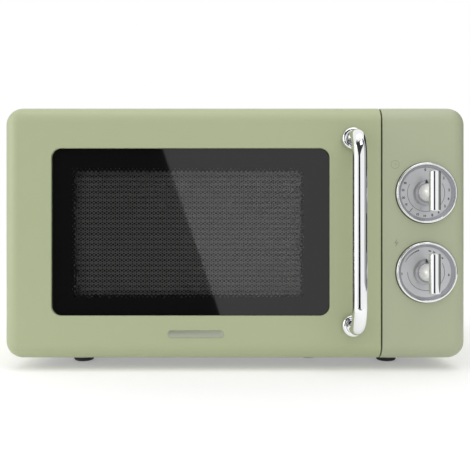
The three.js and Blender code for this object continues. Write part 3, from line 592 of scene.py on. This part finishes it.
SURROUND, MOUTH = (-196, 112, 32, 238), (-158.5, 66.5, 71.5, 195.5)
front, back = -132.95, -132.3
rim, mouth = outline(*SURROUND, 6, 6), outline(*MOUTH, 2, 2)
rows = [at_depth(rim, front), at_depth(mouth, front), at_depth(mouth, back), at_depth(rim, back)]
surround = build("screen_surround", [grid(np.stack(rows), True, True)])
dress(surround, screen_paint)
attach(surround, "door")

# ---------------------------------------------------------------- Handle
# A bent steel tube, chromed, held by a screw from inside the door at each end,
# with a turned and chromed ferrule covering each joint.
HANDLE_X, HANDLE_Z, HANDLE_R, REACH, BEND = 113.4, (45.4, 225.1), 6.9, 37.0, 22.0


def tube(path, radius, sides=48):
    """Round tube: ring of the radius about each path point, square to the path,
    which lies in one plane of constant x."""
    ahead = np.gradient(path, axis=0)
    ahead /= np.linalg.norm(ahead, axis=1, keepdims=True)
    side = np.array([1.0, 0, 0])
    up = np.cross(ahead, side)
    a = np.linspace(0, 2 * math.pi, sides, endpoint=False)
    ring = np.cos(a)[None, :, None] * side + np.sin(a)[None, :, None] * up[:, None]
    return capped(path[:, None] + radius * ring)


def handle_path():
    """Straight posts and bar joined by quadratic bends of the given reach."""
    y0, y1 = FACE - 0.3, FACE - REACH
    low, high = HANDLE_Z

    def bend(a, b, c):
        t = np.linspace(0, 1, 17)[:, None]
        return (1 - t) ** 2 * np.array(a) + 2 * t * (1 - t) * np.array(b) + t * t * np.array(c)

    points = [
        np.array([[y0, low], [y0 - 2, low], [y1 + BEND + 2, low]]),
        bend((y1 + BEND, low), (y1, low), (y1, low + BEND)),
        np.array([[y1, low + BEND + 4], [y1, (low + high) / 2], [y1, high - BEND - 4]]),
        bend((y1, high - BEND), (y1, high), (y1 + BEND, high)),
        np.array([[y1 + BEND + 2, high], [y0 - 2, high], [y0, high]]),
    ]
    yz = np.concatenate(points)
    return np.concatenate([np.full((len(yz), 1), HANDLE_X), yz], 1)


chrome = finish(
    "chrome", (0.86, 0.87, 0.88), 0.04, metal=1.0, vary=0.01, grain=300, depth=0.001
)
bar = build("handle_tube", tube(handle_path(), HANDLE_R), sharp=50)
dress(bar, chrome)
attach(bar, "door")
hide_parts("handle_bar")


def lathe(profile, x, y, z, axis="y", steps=96):
    """Turned surface: each (radius, height) of the profile swept round the axis."""
    profile = np.asarray(profile, float)
    a = np.linspace(0, 2 * math.pi, steps, endpoint=False)
    r, h = profile[:, :1], profile[:, 1:]
    across, along, up = r * np.cos(a), h + 0 * a, r * np.sin(a)
    order = {"y": (across, along, up), "z": (across, up, along), "x": (along, across, up)}[axis]
    return [grid(np.stack(order, -1) + np.array([x, y, z], float), wrap_u=True)]


def lathe_ring(profile, x, y, z, axis="y", steps=96):
    """Turned surface whose profile closes on itself."""
    return lathe([*profile, profile[0]], x, y, z, axis, steps)


def fillet(cx, cy, r, start, end, steps=6):
    """Points of an arc about (cx, cy) from start to end, in degrees."""
    a = np.radians(np.linspace(start, end, steps))
    return [(cx + r * math.cos(t), cy + r * math.sin(t)) for t in a]


for name, z in (("lower", HANDLE_Z[0]), ("upper", HANDLE_Z[1])):
    base = FACE - 0.3
    profile = [(7.0, base), (10.0, base), (10.75, base - 0.5), (10.75, base - 2.4)]
    profile += [(10.55, base - 2.8), (10.75, base - 3.2)]
    profile += fillet(8.0, base - 4.1, 2.7, 0, -80, 8)
    profile += [(7.4, base - 6.8), (7.0, base - 6.4)]
    ferrule = build("ferrule_" + name, lathe_ring(profile, HANDLE_X, 0, z), sharp=40)
    dress(ferrule, chrome)
    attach(ferrule, "door")
    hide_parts("handle_ferrule_" + name)

# ---------------------------------------------------------------- Dials
# Each dial is a turned aluminium plate, spun satin and printed with its scale, at
# the foot of a slope whose grey, darker than the dial, is painted shade. A chromed
# bezel ring stands round both, pressed into the panel over a thin black ring that
# paints the shadow line round its edge.
dial_metal = finish(
    "dial_satin", (0.52, 0.525, 0.535), 0.36, metal=0.7, vary=0.03, grain=1400, depth=0.004
)
# Painted shadow: a thin black ring under the bezel's outer edge stands for the shadow line round
# it.
bezel_shadow_black = finish("bezel_painted_shadow_black", (0.03, 0.03, 0.028), 0.6, vary=0.1, grain=1200, depth=0.01)
# Painted shade: the slope inside the bezel is a darker grey than the dial, standing in for the
# shade and reflection seen there.
slope_shade_grey = finish(
    "bezel_slope_painted_shade", (0.46, 0.46, 0.50), 0.4, metal=0.5, vary=0.03, grain=1400, depth=0.003
)
for name, z in DIALS:
    rim = FACE - 4.0
    profile = [(26.8, FACE + 3), (26.8, rim + 1.4)]
    profile += fillet(28.05, rim + 1.25, 1.25, 180, 360, 14)
    profile += [(29.3, FACE - 0.9), (28.9, FACE - 0.75), (28.5, FACE - 0.1), (28.2, FACE + 3)]
    bezel = build(name + "_bezel_ring", lathe_ring(profile, KNOB_X, 0, z, steps=160), sharp=40)
    dress(bezel, chrome)
    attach(bezel, "oven")
    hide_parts(name + "_bezel")
    # Slope in its darker grey: painted shade inside the bezel.
    profile = [(24.4, FACE - 0.05), (26.7, rim + 1.0), (26.75, rim + 1.3), (26.75, FACE - 0.05)]
    dish = build(name + "_bezel_slope", lathe_ring(profile, KNOB_X, 0, z, steps=160))
    dress(dish, slope_shade_grey)
    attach(dish, "oven")
    # Black ring under the bezel's edge: painted shadow.
    profile = [(28.6, FACE - 0.6), (29.7, FACE - 0.45), (29.8, FACE - 0.3), (29.8, FACE + 1.6)]
    shadow_ring = build(name + "_bezel_painted_shadow", lathe_ring([*profile, (28.6, FACE + 1.6)], KNOB_X, 0, z))
    dress(shadow_ring, bezel_shadow_black)
    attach(shadow_ring, "oven")
    top = FACE + 0.1
    profile = [(5, top), (13, top), (20, top), (26.1, top), (26.5, top + 0.3)]
    profile += [(26.5, top + 1.5), (5, top + 1.5)]
    plate = build(name + "_dial_plate", lathe_ring(profile, KNOB_X, 0, z, steps=128))
    dress(plate, dial_metal)
    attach(plate, "oven")
    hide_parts(name + "_dial")

# ---------------------------------------------------------------- Dial printing
# The scales are screen printed in grey ink: an arc, numerals round the timer and
# plain level marks round the power dial. Ink stands a few hundredths of a mm up.
ink = finish("dial_ink", (0.03, 0.03, 0.045), 0.5, vary=0.08, grain=3000, depth=0.002)
INK_FRONT, INK_BACK = FACE + 0.04, FACE + 0.12


def flat_plate(loop, front, back):
    """Patches of a flat piece: an x, z outline given thickness in y."""
    loop = np.asarray(loop, float)
    wall = grid(np.stack([at_depth(loop, front), at_depth(loop, back)]), wrap_u=True)
    return [wall, flat_fill(loop, [], front), flat_fill(loop, [], back)]


def on_circle(x, z, r, degrees):
    a = np.radians(np.asarray(degrees, float))
    return np.stack([x + r * np.cos(a), z + r * np.sin(a)], -1)


def arc_band(x, z, r, width, start, end, front=INK_FRONT, back=INK_BACK):
    """Curved stroke of even width between two angles in degrees."""
    steps = max(int(abs(end - start) / 3), 2)
    sweep = np.linspace(start, end, steps)
    outer = on_circle(x, z, r + width / 2, sweep)
    inner = on_circle(x, z, r - width / 2, sweep[::-1])
    return flat_plate(np.concatenate([outer, inner]), front, back)


def stroke(start, end, width, front=INK_FRONT, back=INK_BACK):
    """Straight stroke of even width between two x, z points."""
    start, end = np.array(start, float), np.array(end, float)
    along = (end - start) / np.linalg.norm(end - start)
    side = np.array([-along[1], along[0]]) * width / 2
    return flat_plate([start + side, end + side, end - side, start - side], front, back)


def lettering(text, size, x, z, front=INK_FRONT, back=INK_BACK):
    """Numerals as a closed mesh, centred on x, z and facing the front."""
    curve = bpy.data.curves.new(text, "FONT")
    curve.body, curve.size, curve.extrude = text, size, (back - front) / 2
    curve.align_x, curve.align_y, curve.resolution_u = "CENTER", "CENTER", 2
    curve.offset = 0.12
    holder = bpy.data.objects.new(text, curve)
    bpy.context.collection.objects.link(holder)
    bpy.context.view_layer.update()
    ready = holder.evaluated_get(bpy.context.evaluated_depsgraph_get())
    mesh = bpy.data.meshes.new_from_object(ready)
    flat = np.empty(len(mesh.vertices) * 3)
    mesh.vertices.foreach_get("co", flat)
    flat = flat.reshape(-1, 3)
    mesh.calc_loop_triangles()
    tris = np.empty(len(mesh.loop_triangles) * 3, int)
    mesh.loop_triangles.foreach_get("vertices", tris)
    bpy.data.objects.remove(holder)
    bpy.data.curves.remove(curve)
    bpy.data.meshes.remove(mesh)
    mid = (front + back) / 2
    points = np.stack([x + flat[:, 0], mid - flat[:, 2], z + flat[:, 1]], 1)
    return [(points, tris.reshape(-1, 3))]


marks = [
    (92, "0"), (62, "1"), (40, "2"), (7, "3"), (-15, "4"), (-35, "5"), (-57, "6"),
    (-74.5, "8"), (-94, "10"), (-112, "12"), (-150, "15"), (-168, "20"), (173, "25"), (155, "30"),
]
patches = arc_band(KNOB_X, TIMER_Z, 18, 0.35, 151, 391)
for angle, text in marks:
    x, z = on_circle(KNOB_X, TIMER_Z, 22.3, angle)
    patches += lettering(text, 3.5 if len(text) == 1 else 2.9, x, z)
patches += stroke(
    on_circle(KNOB_X, TIMER_Z, 19.4, -131.5), on_circle(KNOB_X, TIMER_Z, 24.6, -131.5), 0.5
)
timer_print = build("timer_scale", patches)
patches = arc_band(KNOB_X, POWER_Z, 17.8, 0.4, 180, 390)
for k in range(11):
    angle = 153 - 4.2 * k
    patches += arc_band(KNOB_X, POWER_Z, 22.2, 0.5 + 0.09 * k, angle, angle - 3)
for angle, span in ((80, 7), (68, 6), (41, 6)):
    patches += arc_band(KNOB_X, POWER_Z, 20.8, 1.1, angle + span / 2, angle - span / 2)
patches += stroke(
    on_circle(KNOB_X, POWER_Z, 23.4, 186.5), on_circle(KNOB_X, POWER_Z, 23.4, 181), 0.8
)
patches += flat_plate(on_circle(KNOB_X, POWER_Z, 21.6, [-11, -3]).tolist() + [
    on_circle(KNOB_X, POWER_Z, 23.2, -7).tolist()], INK_FRONT, INK_BACK)
power_print = build("power_scale", patches)
for scale in (timer_print, power_print):
    dress(scale, ink)
    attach(scale, "oven")

# ---------------------------------------------------------------- Knobs
# Die-cast grip knob: a satin domed stem with a flared foot carries a polished
# round cross bar, and is pushed onto the spindle behind the dial. A dark pointer
# is printed at the top of the flared foot.
GRIP_R, GRIP_HALF, GRIP_Y = 5.2, 18.5, -175.2
STEM_R, DOME_HIGH = 8.45, 14.6
satin_chrome = finish(
    "satin_chrome", (0.95, 0.95, 0.94), 0.3, metal=0.5, vary=0.02, grain=1600, depth=0.002
)
# Painted shade: the flared foot is coloured much darker than the stem it is cast with, for the
# shade round the dome.
foot_shade_satin = finish(
    "knob_foot_painted_shade", (0.40, 0.40, 0.42), 0.42, metal=0.7, vary=0.03, grain=1400, depth=0.003
)
for name, z in DIALS:
    base = FACE - 0.3
    profile = [(4, base), (11.6, base), (12.0, base - 0.3), (11.9, base - 0.8)]
    profile += fillet(12.2, base - 4.5, 3.7, 95, 172, 9)
    profile += [(8.0, base - 4.8), (4, base - 4.8)]
    flare = build(name + "_knob_foot", lathe_ring(profile, KNOB_X, 0, z), sharp=50)
    dome = np.radians(np.linspace(0, 72, 16))
    profile = [(0, base - 1.0), (8.3, base - 1.0), (STEM_R, base - 1.2), (STEM_R, base - 5.6)]
    profile += [(STEM_R * math.cos(t), base - 6.0 - DOME_HIGH * math.sin(t)) for t in dome]
    profile += [(0, base - 21.5)]
    stem = build(name + "_knob_stem", lathe(profile, KNOB_X, 0, z), sharp=50)
    top, r = z + GRIP_HALF, GRIP_R
    low = 2 * z - top
    end = fillet(r - 0.8, top - 0.8, 0.8, 0, 90, 6)
    profile = [(0, low)] + [(q, 2 * z - h) for q, h in reversed(end)]
    profile += [(r, low + 1.1), (r, top - 1.1)] + end + [(0, top)]
    grip = build(name + "_knob_bar", lathe(profile, KNOB_X, GRIP_Y, 0, "z", 64), sharp=50)
    # The foot's darker satin is painted shade round the dome.
    for part, look in ((flare, foot_shade_satin), (stem, satin_chrome), (grip, chrome)):
        dress(part, look)
        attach(part, name + "_grip")
    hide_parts(name + "_knob")
    tip, left, right = (KNOB_X, z + 12.9), (KNOB_X - 1.5, z + 9.6), (KNOB_X + 1.5, z + 9.6)
    pointer = build(name + "_pointer", flat_plate([left, right, tip], base - 2.2, base - 0.4))
    dress(pointer, ink)
    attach(pointer, name + "_grip")

# ---------------------------------------------------------------- Panel marks and badge
# Two faint pad-printed signs on the panel, a clock and a bolt, and a blank satin
# badge glued under the window.
pale_ink = finish("panel_ink", (0.245, 0.27, 0.2), 0.5, vary=0.05, grain=3000, depth=0.002)
MARK_FRONT, MARK_BACK = FACE - 0.03, FACE + 0.03
CLOCK, BOLT = (154.6, 200.6), (155.7, 124.8)
cx, cz = CLOCK
ring = [circle(cx, cz, 4.1, 48), circle(cx, cz, 3.65, 48)]
rows = [(0, MARK_FRONT), (1, MARK_FRONT), (1, MARK_BACK), (0, MARK_BACK)]
rows = np.stack([at_depth(ring[k], y) for k, y in rows])
clock_sign = build("clock_sign", [grid(rows, True, True)])
hands = [(cx, cz + 2.4), (cx - 0.25, cz + 2.4), (cx - 0.25, cz - 0.25), (cx + 1.8, cz - 0.25)]
hands += [(cx + 1.8, cz + 0.2), (cx, cz + 0.2)]
clock_hands = build("clock_hands", flat_plate(hands[::-1], MARK_FRONT, MARK_BACK))
bx, bz = BOLT
bolt = [(0.9, 4.2), (-2.3, -0.5), (-0.3, -0.5), (-1.0, -4.2), (2.3, 0.7), (0.3, 0.7)]
bolt_sign = build(
    "bolt_sign", flat_plate([(bx + u, bz + v) for u, v in bolt], MARK_FRONT, MARK_BACK)
)
for sign in (clock_sign, clock_hands, bolt_sign):
    dress(sign, pale_ink)
    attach(sign, "oven")

BADGE, BADGE_R, BADGE_THICK = (-65, -11, 33.4, 40.2), 3.4, 0.6
rows = []
for inset, y in ((0.35, -BADGE_THICK), (0.1, -0.5), (0, -0.25), (0, 0.0)):
    x0, x1, z0, z1 = BADGE
    r = BADGE_R - inset
    loop = outline(x0 + inset, x1 - inset, z0 + inset, z1 - inset, r, r)
    rows.append(at_depth(loop, FACE + y))
badge = build(
    "blank_badge",
    [
        grid(np.stack(rows), wrap_u=True),
        flat_fill(rows[0][:, [0, 2]], [], FACE - BADGE_THICK),
        flat_fill(rows[-1][:, [0, 2]], [], FACE),
    ],
)
satin = finish(
    "badge_satin", (0.36, 0.385, 0.31), 0.35, metal=0.6, vary=0.03, grain=1800,
    depth=0.003, stretch=(0.05, 1, 1),
)
dress(badge, satin)
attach(badge, "door")

# ---------------------------------------------------------------- Cabinet
# One steel sheet bent over the top and both sides, its lower edges turned in,
# sprayed to match the front. Air slots are pressed through both sides.
WRAP = 1.5
WRAP_FRONT, WRAP_BACK = -117.2, 192.9
LIP = 206.0


def wrapper_section(inset):
    """Closed x, z section of the sheet, thinner by the inset on both faces."""
    def skin(d):
        r = CORNER_R - d
        turn = np.linspace(0, math.pi / 2, 13)
        corners = [
            (RIGHT - CORNER_R, BOTTOM + CORNER_R, -math.pi / 2),
            (RIGHT - CORNER_R, TOP - CORNER_R, 0),
            (LEFT + CORNER_R, TOP - CORNER_R, math.pi / 2),
            (LEFT + CORNER_R, BOTTOM + CORNER_R, math.pi),
        ]
        arcs = [
            np.stack([cx + r * np.cos(turn + a), cz + r * np.sin(turn + a)], 1)
            for cx, cz, a in corners
        ]
        ends = [[LIP + inset, BOTTOM + d]], [[-LIP - inset, BOTTOM + d]]
        return np.concatenate([ends[0], *arcs, ends[1]])

    return np.concatenate([skin(inset), skin(WRAP - inset)[::-1]])


soft = 0.3
rows = [
    at_depth(wrapper_section(soft), WRAP_FRONT),
    at_depth(wrapper_section(0), WRAP_FRONT + soft),
    at_depth(wrapper_section(0), WRAP_BACK - soft),
    at_depth(wrapper_section(soft), WRAP_BACK),
]
wrapper = build(
    "cabinet_wrapper",
    [
        grid(np.stack(rows), wrap_u=True),
        flat_fill(rows[0][:, [0, 2]], [], WRAP_FRONT),
        flat_fill(rows[-1][:, [0, 2]], [], WRAP_BACK),
    ],
)
SLOT_PITCH, SLOT_HIGH, SLOT_COUNT = 9, 3, 7
# Each bank of slots: its x and y ranges and the height of its lowest slot.
BANKS = [(222, 227, 100, 160, 60), (-227, -222, -80, -20, 170)]
slots = []
for k in range(SLOT_COUNT):
    for x0, x1, y0, y1, low in BANKS:
        z = low + SLOT_PITCH * k
        slots.append(((x0, y0, z), (x1, y1, z + SLOT_HIGH)))
carve(wrapper, slots)
sage_sheet = finish(
    "sage_paint_sheet", (0.366, 0.404, 0.240), 0.4, vary=0.01, grain=1100, depth=0.005
)
dress(wrapper, sage_sheet)
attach(wrapper, "oven")
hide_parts("outer_cabinet")

# ---------------------------------------------------------------- Base and rear sheets
# Pressed from zinc-coated sheet. The base has a hollow boss over each foot; the
# rear sheet has the fan's intake slots and is held by pan-head screws.
zinc = finish(
    "zinc_sheet", (0.47, 0.485, 0.49), 0.4, metal=0.85, vary=0.07, blotch=60, grain=400,
    depth=0.006, rough_vary=0.3,
)


def refine(node, mat, body, soften=0.25):
    """Copy of a CAD node, its facets joined and its sharp edges broken."""
    mesh = nodes[node].data.copy()
    mesh.name = node + "_fine"
    bm = bmesh.new()
    bm.from_mesh(mesh)
    bm.transform(nodes[node].matrix_world)
    bmesh.ops.remove_doubles(bm, verts=bm.verts, dist=0.000002)
    bmesh.ops.dissolve_limit(
        bm, angle_limit=math.radians(1), verts=bm.verts, edges=bm.edges, delimit=set()
    )
    bmesh.ops.recalc_face_normals(bm, faces=bm.faces)
    bm.to_mesh(mesh)
    bm.free()
    mesh.shade_smooth()
    mesh.set_sharp_from_angle(angle=math.radians(32))
    obj = bpy.data.objects.new(node + "_fine", mesh)
    bpy.context.collection.objects.link(obj)
    if soften:
        bevel = obj.modifiers.new("soften", "BEVEL")
        bevel.width, bevel.segments = soften * MM, 2
        bevel.limit_method, bevel.angle_limit = "ANGLE", math.radians(40)
        bevel.use_clamp_overlap = True
    dress(obj, mat)
    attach(obj, body)
    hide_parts(node)
    return obj


refine("base_plate", zinc, "oven")
refine("rear_panel", zinc, "oven")


def screw(name, x, z, y, out=1):
    """Pan head: radius R sin b over height H cos b, with a cross recess."""
    r, rim, high = 3.6, 0.3, 1.1
    arm, half = 1.9, 0.4
    b = np.radians(np.linspace(0, 90, 8))
    dome = [(r * math.sin(t), y + out * (rim + high * math.cos(t))) for t in b]
    head = build(name, lathe([*dome, (r, y), (0, y)], x, 0, z, steps=32), sharp=50)
    deep = sorted((y + out * 0.6, y + out * 3))
    cross = [(arm, half), (half, arm)]
    carve(head, [((x - u, deep[0], z - v), (x + u, deep[1], z + v)) for u, v in cross])
    dress(head, zinc)
    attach(head, "oven")


REAR = 191.1
places = [(x, z) for x in (-205, 205) for z in (36, 135, 232)] + [(-40, 247), (60, 247)]
for k, (x, z) in enumerate(places):
    screw(f"rear_screw_{k + 1}", x, z, REAR)

rubber = finish(
    "foot_rubber", (0.022, 0.022, 0.021), 0.7, vary=0.12, grain=1500, depth=0.02, rough_vary=0.1
)
FOOT_X, FOOT_Y = (-160, 160), (-89, 160)
for side, x in zip(("left", "right"), FOOT_X):
    for end, y in zip(("front", "rear"), FOOT_Y):
        profile = [(0, 0), (7.6, 0)]
        profile += fillet(7.9, 2.6, 2.4, -88, 0, 8)
        profile += [(10.3, 4.5), (10.1, 4.7), (4.1, 4.7), (4.0, 8.3), (3.7, 8.6), (0, 8.6)]
        foot = build(f"{end}_{side}_foot", lathe(profile, x, y, 0, "z", 48), sharp=50)
        dress(foot, rubber)
        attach(foot, "oven")
        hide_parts(f"foot_{end}_{side}")

black_moulded = finish(
    "black_moulded", (0.014, 0.014, 0.014), 0.48, vary=0.1, grain=1100, depth=0.015
)
GLAND = (150, 50)
y = 189.9
profile = [(5.4, y - 3), (8.7, y - 3), (9, y - 2.7), (9, y - 0.3), (7.2, y - 0.3)]
profile += [(7.2, y + 1.5), (9, y + 1.5), (9, y + 2.2), (8.6, y + 2.6)]
profile += [(5.4, y + 2.6), (5, y + 2.2), (5, y - 2.6)]
gland = lathe_ring(profile, GLAND[0], 0, GLAND[1], steps=48)
gland = build("cord_grommet", gland, sharp=50)
dress(gland, black_moulded)
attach(gland, "oven")
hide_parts("cord_gland")

# ---------------------------------------------------------------- Cavity
# Welded steel box, enamelled pale grey with fine flecks, its front flange the
# seat of the door. A mica sheet clipped inside covers the wave opening.
enamel = finish(
    "cavity_enamel", (0.56, 0.555, 0.52), 0.3, vary=0.02, grain=260, depth=0.012,
    speck=((0.30, 0.30, 0.29), 1500, 0.06),
)
mica = finish("mica_sheet", (0.46, 0.39, 0.27), 0.55, vary=0.16, blotch=90, grain=500, depth=0.03)
refine("cavity_shell", enamel, "oven")
refine("cavity_front_plate", enamel, "oven")
refine("waveguide_cover", mica, "oven")
for node in ("hinge_bracket_lower", "hinge_bracket_upper"):
    refine(node, zinc, "oven")

# ---------------------------------------------------------------- Turntable
# Pressed glass tray on a three-lobed nylon coupler, carried by three nylon
# wheels that run free on the stub axles of a nylon hoop.
TABLE = (-46.0, 31.5)
nylon = finish("white_nylon", (0.72, 0.70, 0.65), 0.42, vary=0.03, grain=900, depth=0.01)
glass = finish(
    "tray_glass", (0.86, 0.92, 0.90), 0.06, vary=0.01, grain=120, depth=0.01, clear=1.0
)
low = 44.6
profile = [(0, low), (103, low)]
profile += fillet(103.5, low + 14, 14, -88, -52, 6)
profile += [(118, low + 8.4), (122.3, low + 12.8)]
profile += fillet(120.7, low + 13.2, 1.6, 0, 130, 8)
profile += [(113.6, low + 9.0)]
profile += fillet(102.4, low + 14.6, 10.1, -42, -88, 6)
profile += [(102, low + 4.5), (0, low + 4.5)]
tray = build("turntable_tray", lathe(profile, *TABLE, 0, "z", 128), sharp=60)
dress(tray, glass)
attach(tray, "tray")
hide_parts("glass_tray")
refine("turntable_coupler", nylon, "tray")
refine("turntable_motor", zinc, "oven")
refine("roller_ring", nylon, "roller_carrier", 0.4)
for k in (1, 2, 3):
    refine(f"roller_{k}", nylon, f"roller_wheel_{k}", 0.4)

# ---------------------------------------------------------------- Inside of the door
# A steel ring with a choke groove holds the screen; a black moulded frame snaps
# over it round a clear pane. The hook bar slides behind and a spring returns it.
pane_glass = finish(
    "inner_pane_glass", (0.9, 0.93, 0.92), 0.05, vary=0.01, grain=150, depth=0.005, clear=1.0
)
refine("choke_frame", zinc, "door")
refine("choke_cover", black_moulded, "door", 0.3)
refine("door_inner_pane", pane_glass, "door", 0.3)
refine("latch_hooks", nylon, "latch", 0.4)
spring_steel = finish(
    "spring_wire", (0.5, 0.5, 0.5), 0.3, metal=1.0, vary=0.05, grain=900, depth=0.004
)
dress(nodes["latch_spring"], spring_steel)

# ---------------------------------------------------------------- Electrical bay
# Everything behind the control panel and beside the cavity: stock parts of
# pressed steel, moulded plastic, laminations and enamelled copper wire.
laminated = finish(
    "laminations", (0.05, 0.05, 0.052), 0.5, metal=0.6, vary=0.1, bands=("Y", 1.0, 0.12, 0.5)
)
winding = finish(
    "copper_winding", (0.42, 0.135, 0.05), 0.35, metal=0.8, vary=0.1, bands=("Z", 1.1, 0.35, 0.7)
)
card = finish(
    "circuit_card", (0.33, 0.23, 0.085), 0.6, vary=0.08, grain=1800, depth=0.02,
    speck=((0.5, 0.5, 0.48), 600, 0.05),
)
can_metal = finish(
    "can_aluminium", (0.6, 0.61, 0.62), 0.35, metal=0.9, vary=0.05, stretch=(0.1, 1, 1), grain=1200
)
fins = finish(
    "cooling_fins", (0.55, 0.56, 0.56), 0.4, metal=0.9, vary=0.05, bands=("Z", 7.5, 0.4, 0.6)
)
bay = {
    "timer_unit": (zinc, "zinc_steel"),
    "power_selector": (nylon, "white_plastic"),
    "magnetron": (fins, "zinc_steel"),
    "waveguide": (zinc, "zinc_steel"),
    "fan_shroud": (nylon, "white_plastic"),
    "fan_motor": (laminated, "black_steel"),
    "transformer_core": (laminated, "black_steel"),
    "transformer_winding": (winding, "copper_wire"),
    "capacitor": (can_metal, "satin_silver"),
    "filter_board": (card, "circuit_board"),
    "oven_lamp": (glass, "clear_glass"),
    "interlock_bracket": (black_moulded, "black_plastic"),
    "primary_switch": (black_moulded, "black_plastic"),
    "secondary_switch": (black_moulded, "black_plastic"),
    "monitor_switch": (black_moulded, "black_plastic"),
}
for node, (mat, slot_name) in bay.items():
    refine(node, mat, "oven", 0.3)
refine("fan_blade", black_moulded, "fan", 0.2)
for name, z in DIALS:
    refine(name + "_spindle", zinc, name + "_grip")
for name in ("primary", "secondary", "monitor"):
    refine(name + "_switch_plunger", nylon, name + "_plunger", 0.2)

# ---------------------------------------------------------------- Camera, floor and lights
# Pale sheet under and behind the oven, large soft lights above, in front and at
# the left, a grey card at the right, and dark cards that only polished parts show.
def stage_plane(name, corners, colour, glow=0.0):
    mesh = bpy.data.meshes.new(name)
    mesh.from_pydata(corners, [], [(0, 1, 2, 3)])
    obj = bpy.data.objects.new(name, mesh)
    bpy.context.collection.objects.link(obj)
    mat = bpy.data.materials.new(name)
    mat.use_nodes = True
    shader = mat.node_tree.nodes["Principled BSDF"]
    shader.inputs["Base Color"].default_value = (*colour, 1)
    shader.inputs["Roughness"].default_value = 0.9
    shader.inputs["Specular IOR Level"].default_value = 0.1
    if glow:
        shader.inputs["Emission Color"].default_value = (*colour, 1)
        shader.inputs["Emission Strength"].default_value = glow
    mesh.materials.append(mat)
    return obj


def unseen(obj):
    """Card that only shows in polished surfaces."""
    obj.visible_camera = False
    obj.visible_diffuse = False
    obj.visible_shadow = False
    obj.visible_transmission = False
    return obj


stage_plane(
    "floor", [(-2.5, -0.47, 0), (2.5, -0.47, 0), (2.5, 4, 0), (-2.5, 4, 0)], (0.75, 0.75, 0.745),
    glow=0.34,
)
far = -3.6
unseen(
    stage_plane(
        "dark_wall",
        [(-2.3, far, -0.55), (-0.043, far, -0.55), (-0.524, far, 0.85), (-2.3, far, 0.85)],
        (0.015, 0.015, 0.015),
    )
)
arch = [(-2.3, -0.524, far, 0.85), (-3.0, 1.8, -2.4, 1.9), (-3.4, 3.0, -0.9, 2.6)]
for k in (0, 1):
    x0, x1, y0, z0 = arch[k]
    x2, x3, y1, z1 = arch[k + 1]
    unseen(
        stage_plane(
            f"dark_arch_{k + 1}",
            [(x0, y0, z0), (x1, y0, z0), (x3, y1, z1), (x2, y1, z1)],
            (0.04, 0.04, 0.04),
        )
    )
unseen(
    stage_plane(
        "grey_front",
        [(-2.3, far, -0.55), (-0.043, far, -0.55), (2.4, -0.9, -0.4), (-3.0, -0.9, -0.4)],
        (0.2, 0.2, 0.2),
    )
)
right_card = stage_plane(
    "right_card",
    [(1.1, -0.9, 0), (1.1, 0.6, 0), (1.1, 0.6, 1.2), (1.1, -0.9, 1.2)],
    (0.35, 0.35, 0.35),
)
right_card.visible_camera = False
unseen(
    stage_plane(
        "dark_side",
        [(1.05, -0.25, 0), (1.05, 1.6, 0), (1.05, 1.6, 1.2), (1.05, -0.25, 1.2)],
        (0.02, 0.02, 0.02),
    )
)

world = bpy.data.worlds.new("studio")
bpy.context.scene.world = world
world.use_nodes = True
world.node_tree.nodes["Background"].inputs["Color"].default_value = (1, 1, 1, 1)
world.node_tree.nodes["Background"].inputs["Strength"].default_value = 1.0


def soft_light(name, place, aim, size, power):
    data = bpy.data.lights.new(name, "AREA")
    data.shape = "RECTANGLE"
    data.size, data.size_y = size
    data.energy = power
    obj = bpy.data.objects.new(name, data)
    bpy.context.collection.objects.link(obj)
    obj.location = place
    obj.rotation_euler = (Vector(aim) - Vector(place)).to_track_quat("-Z", "Y").to_euler()
    return obj


soft_light("top_light", (0, -0.5, 1.6), (0, 0, 0.15), (1.6, 1.0), 5)
soft_light("front_light", (0.5, -1.5, 1.7), (0, -0.15, 0.2), (1.2, 0.6), 4)
soft_light("left_light", (-1.5, -0.5, 0.5), (0, 0, 0.13), (0.9, 1.2), 5)

CAMERA_BACK, CAMERA_UP = 0.749, 0.1325  # metres
camera_data = bpy.data.cameras.new("camera")
camera_data.lens = 47.6
camera_data.sensor_width = 36
camera = bpy.data.objects.new("camera", camera_data)
bpy.context.collection.objects.link(camera)
camera.location = (0, -CAMERA_BACK, CAMERA_UP)
camera.rotation_euler = (math.radians(90), 0, 0)
bpy.context.scene.camera = camera
bpy.context.scene.view_settings.view_transform = "Standard"
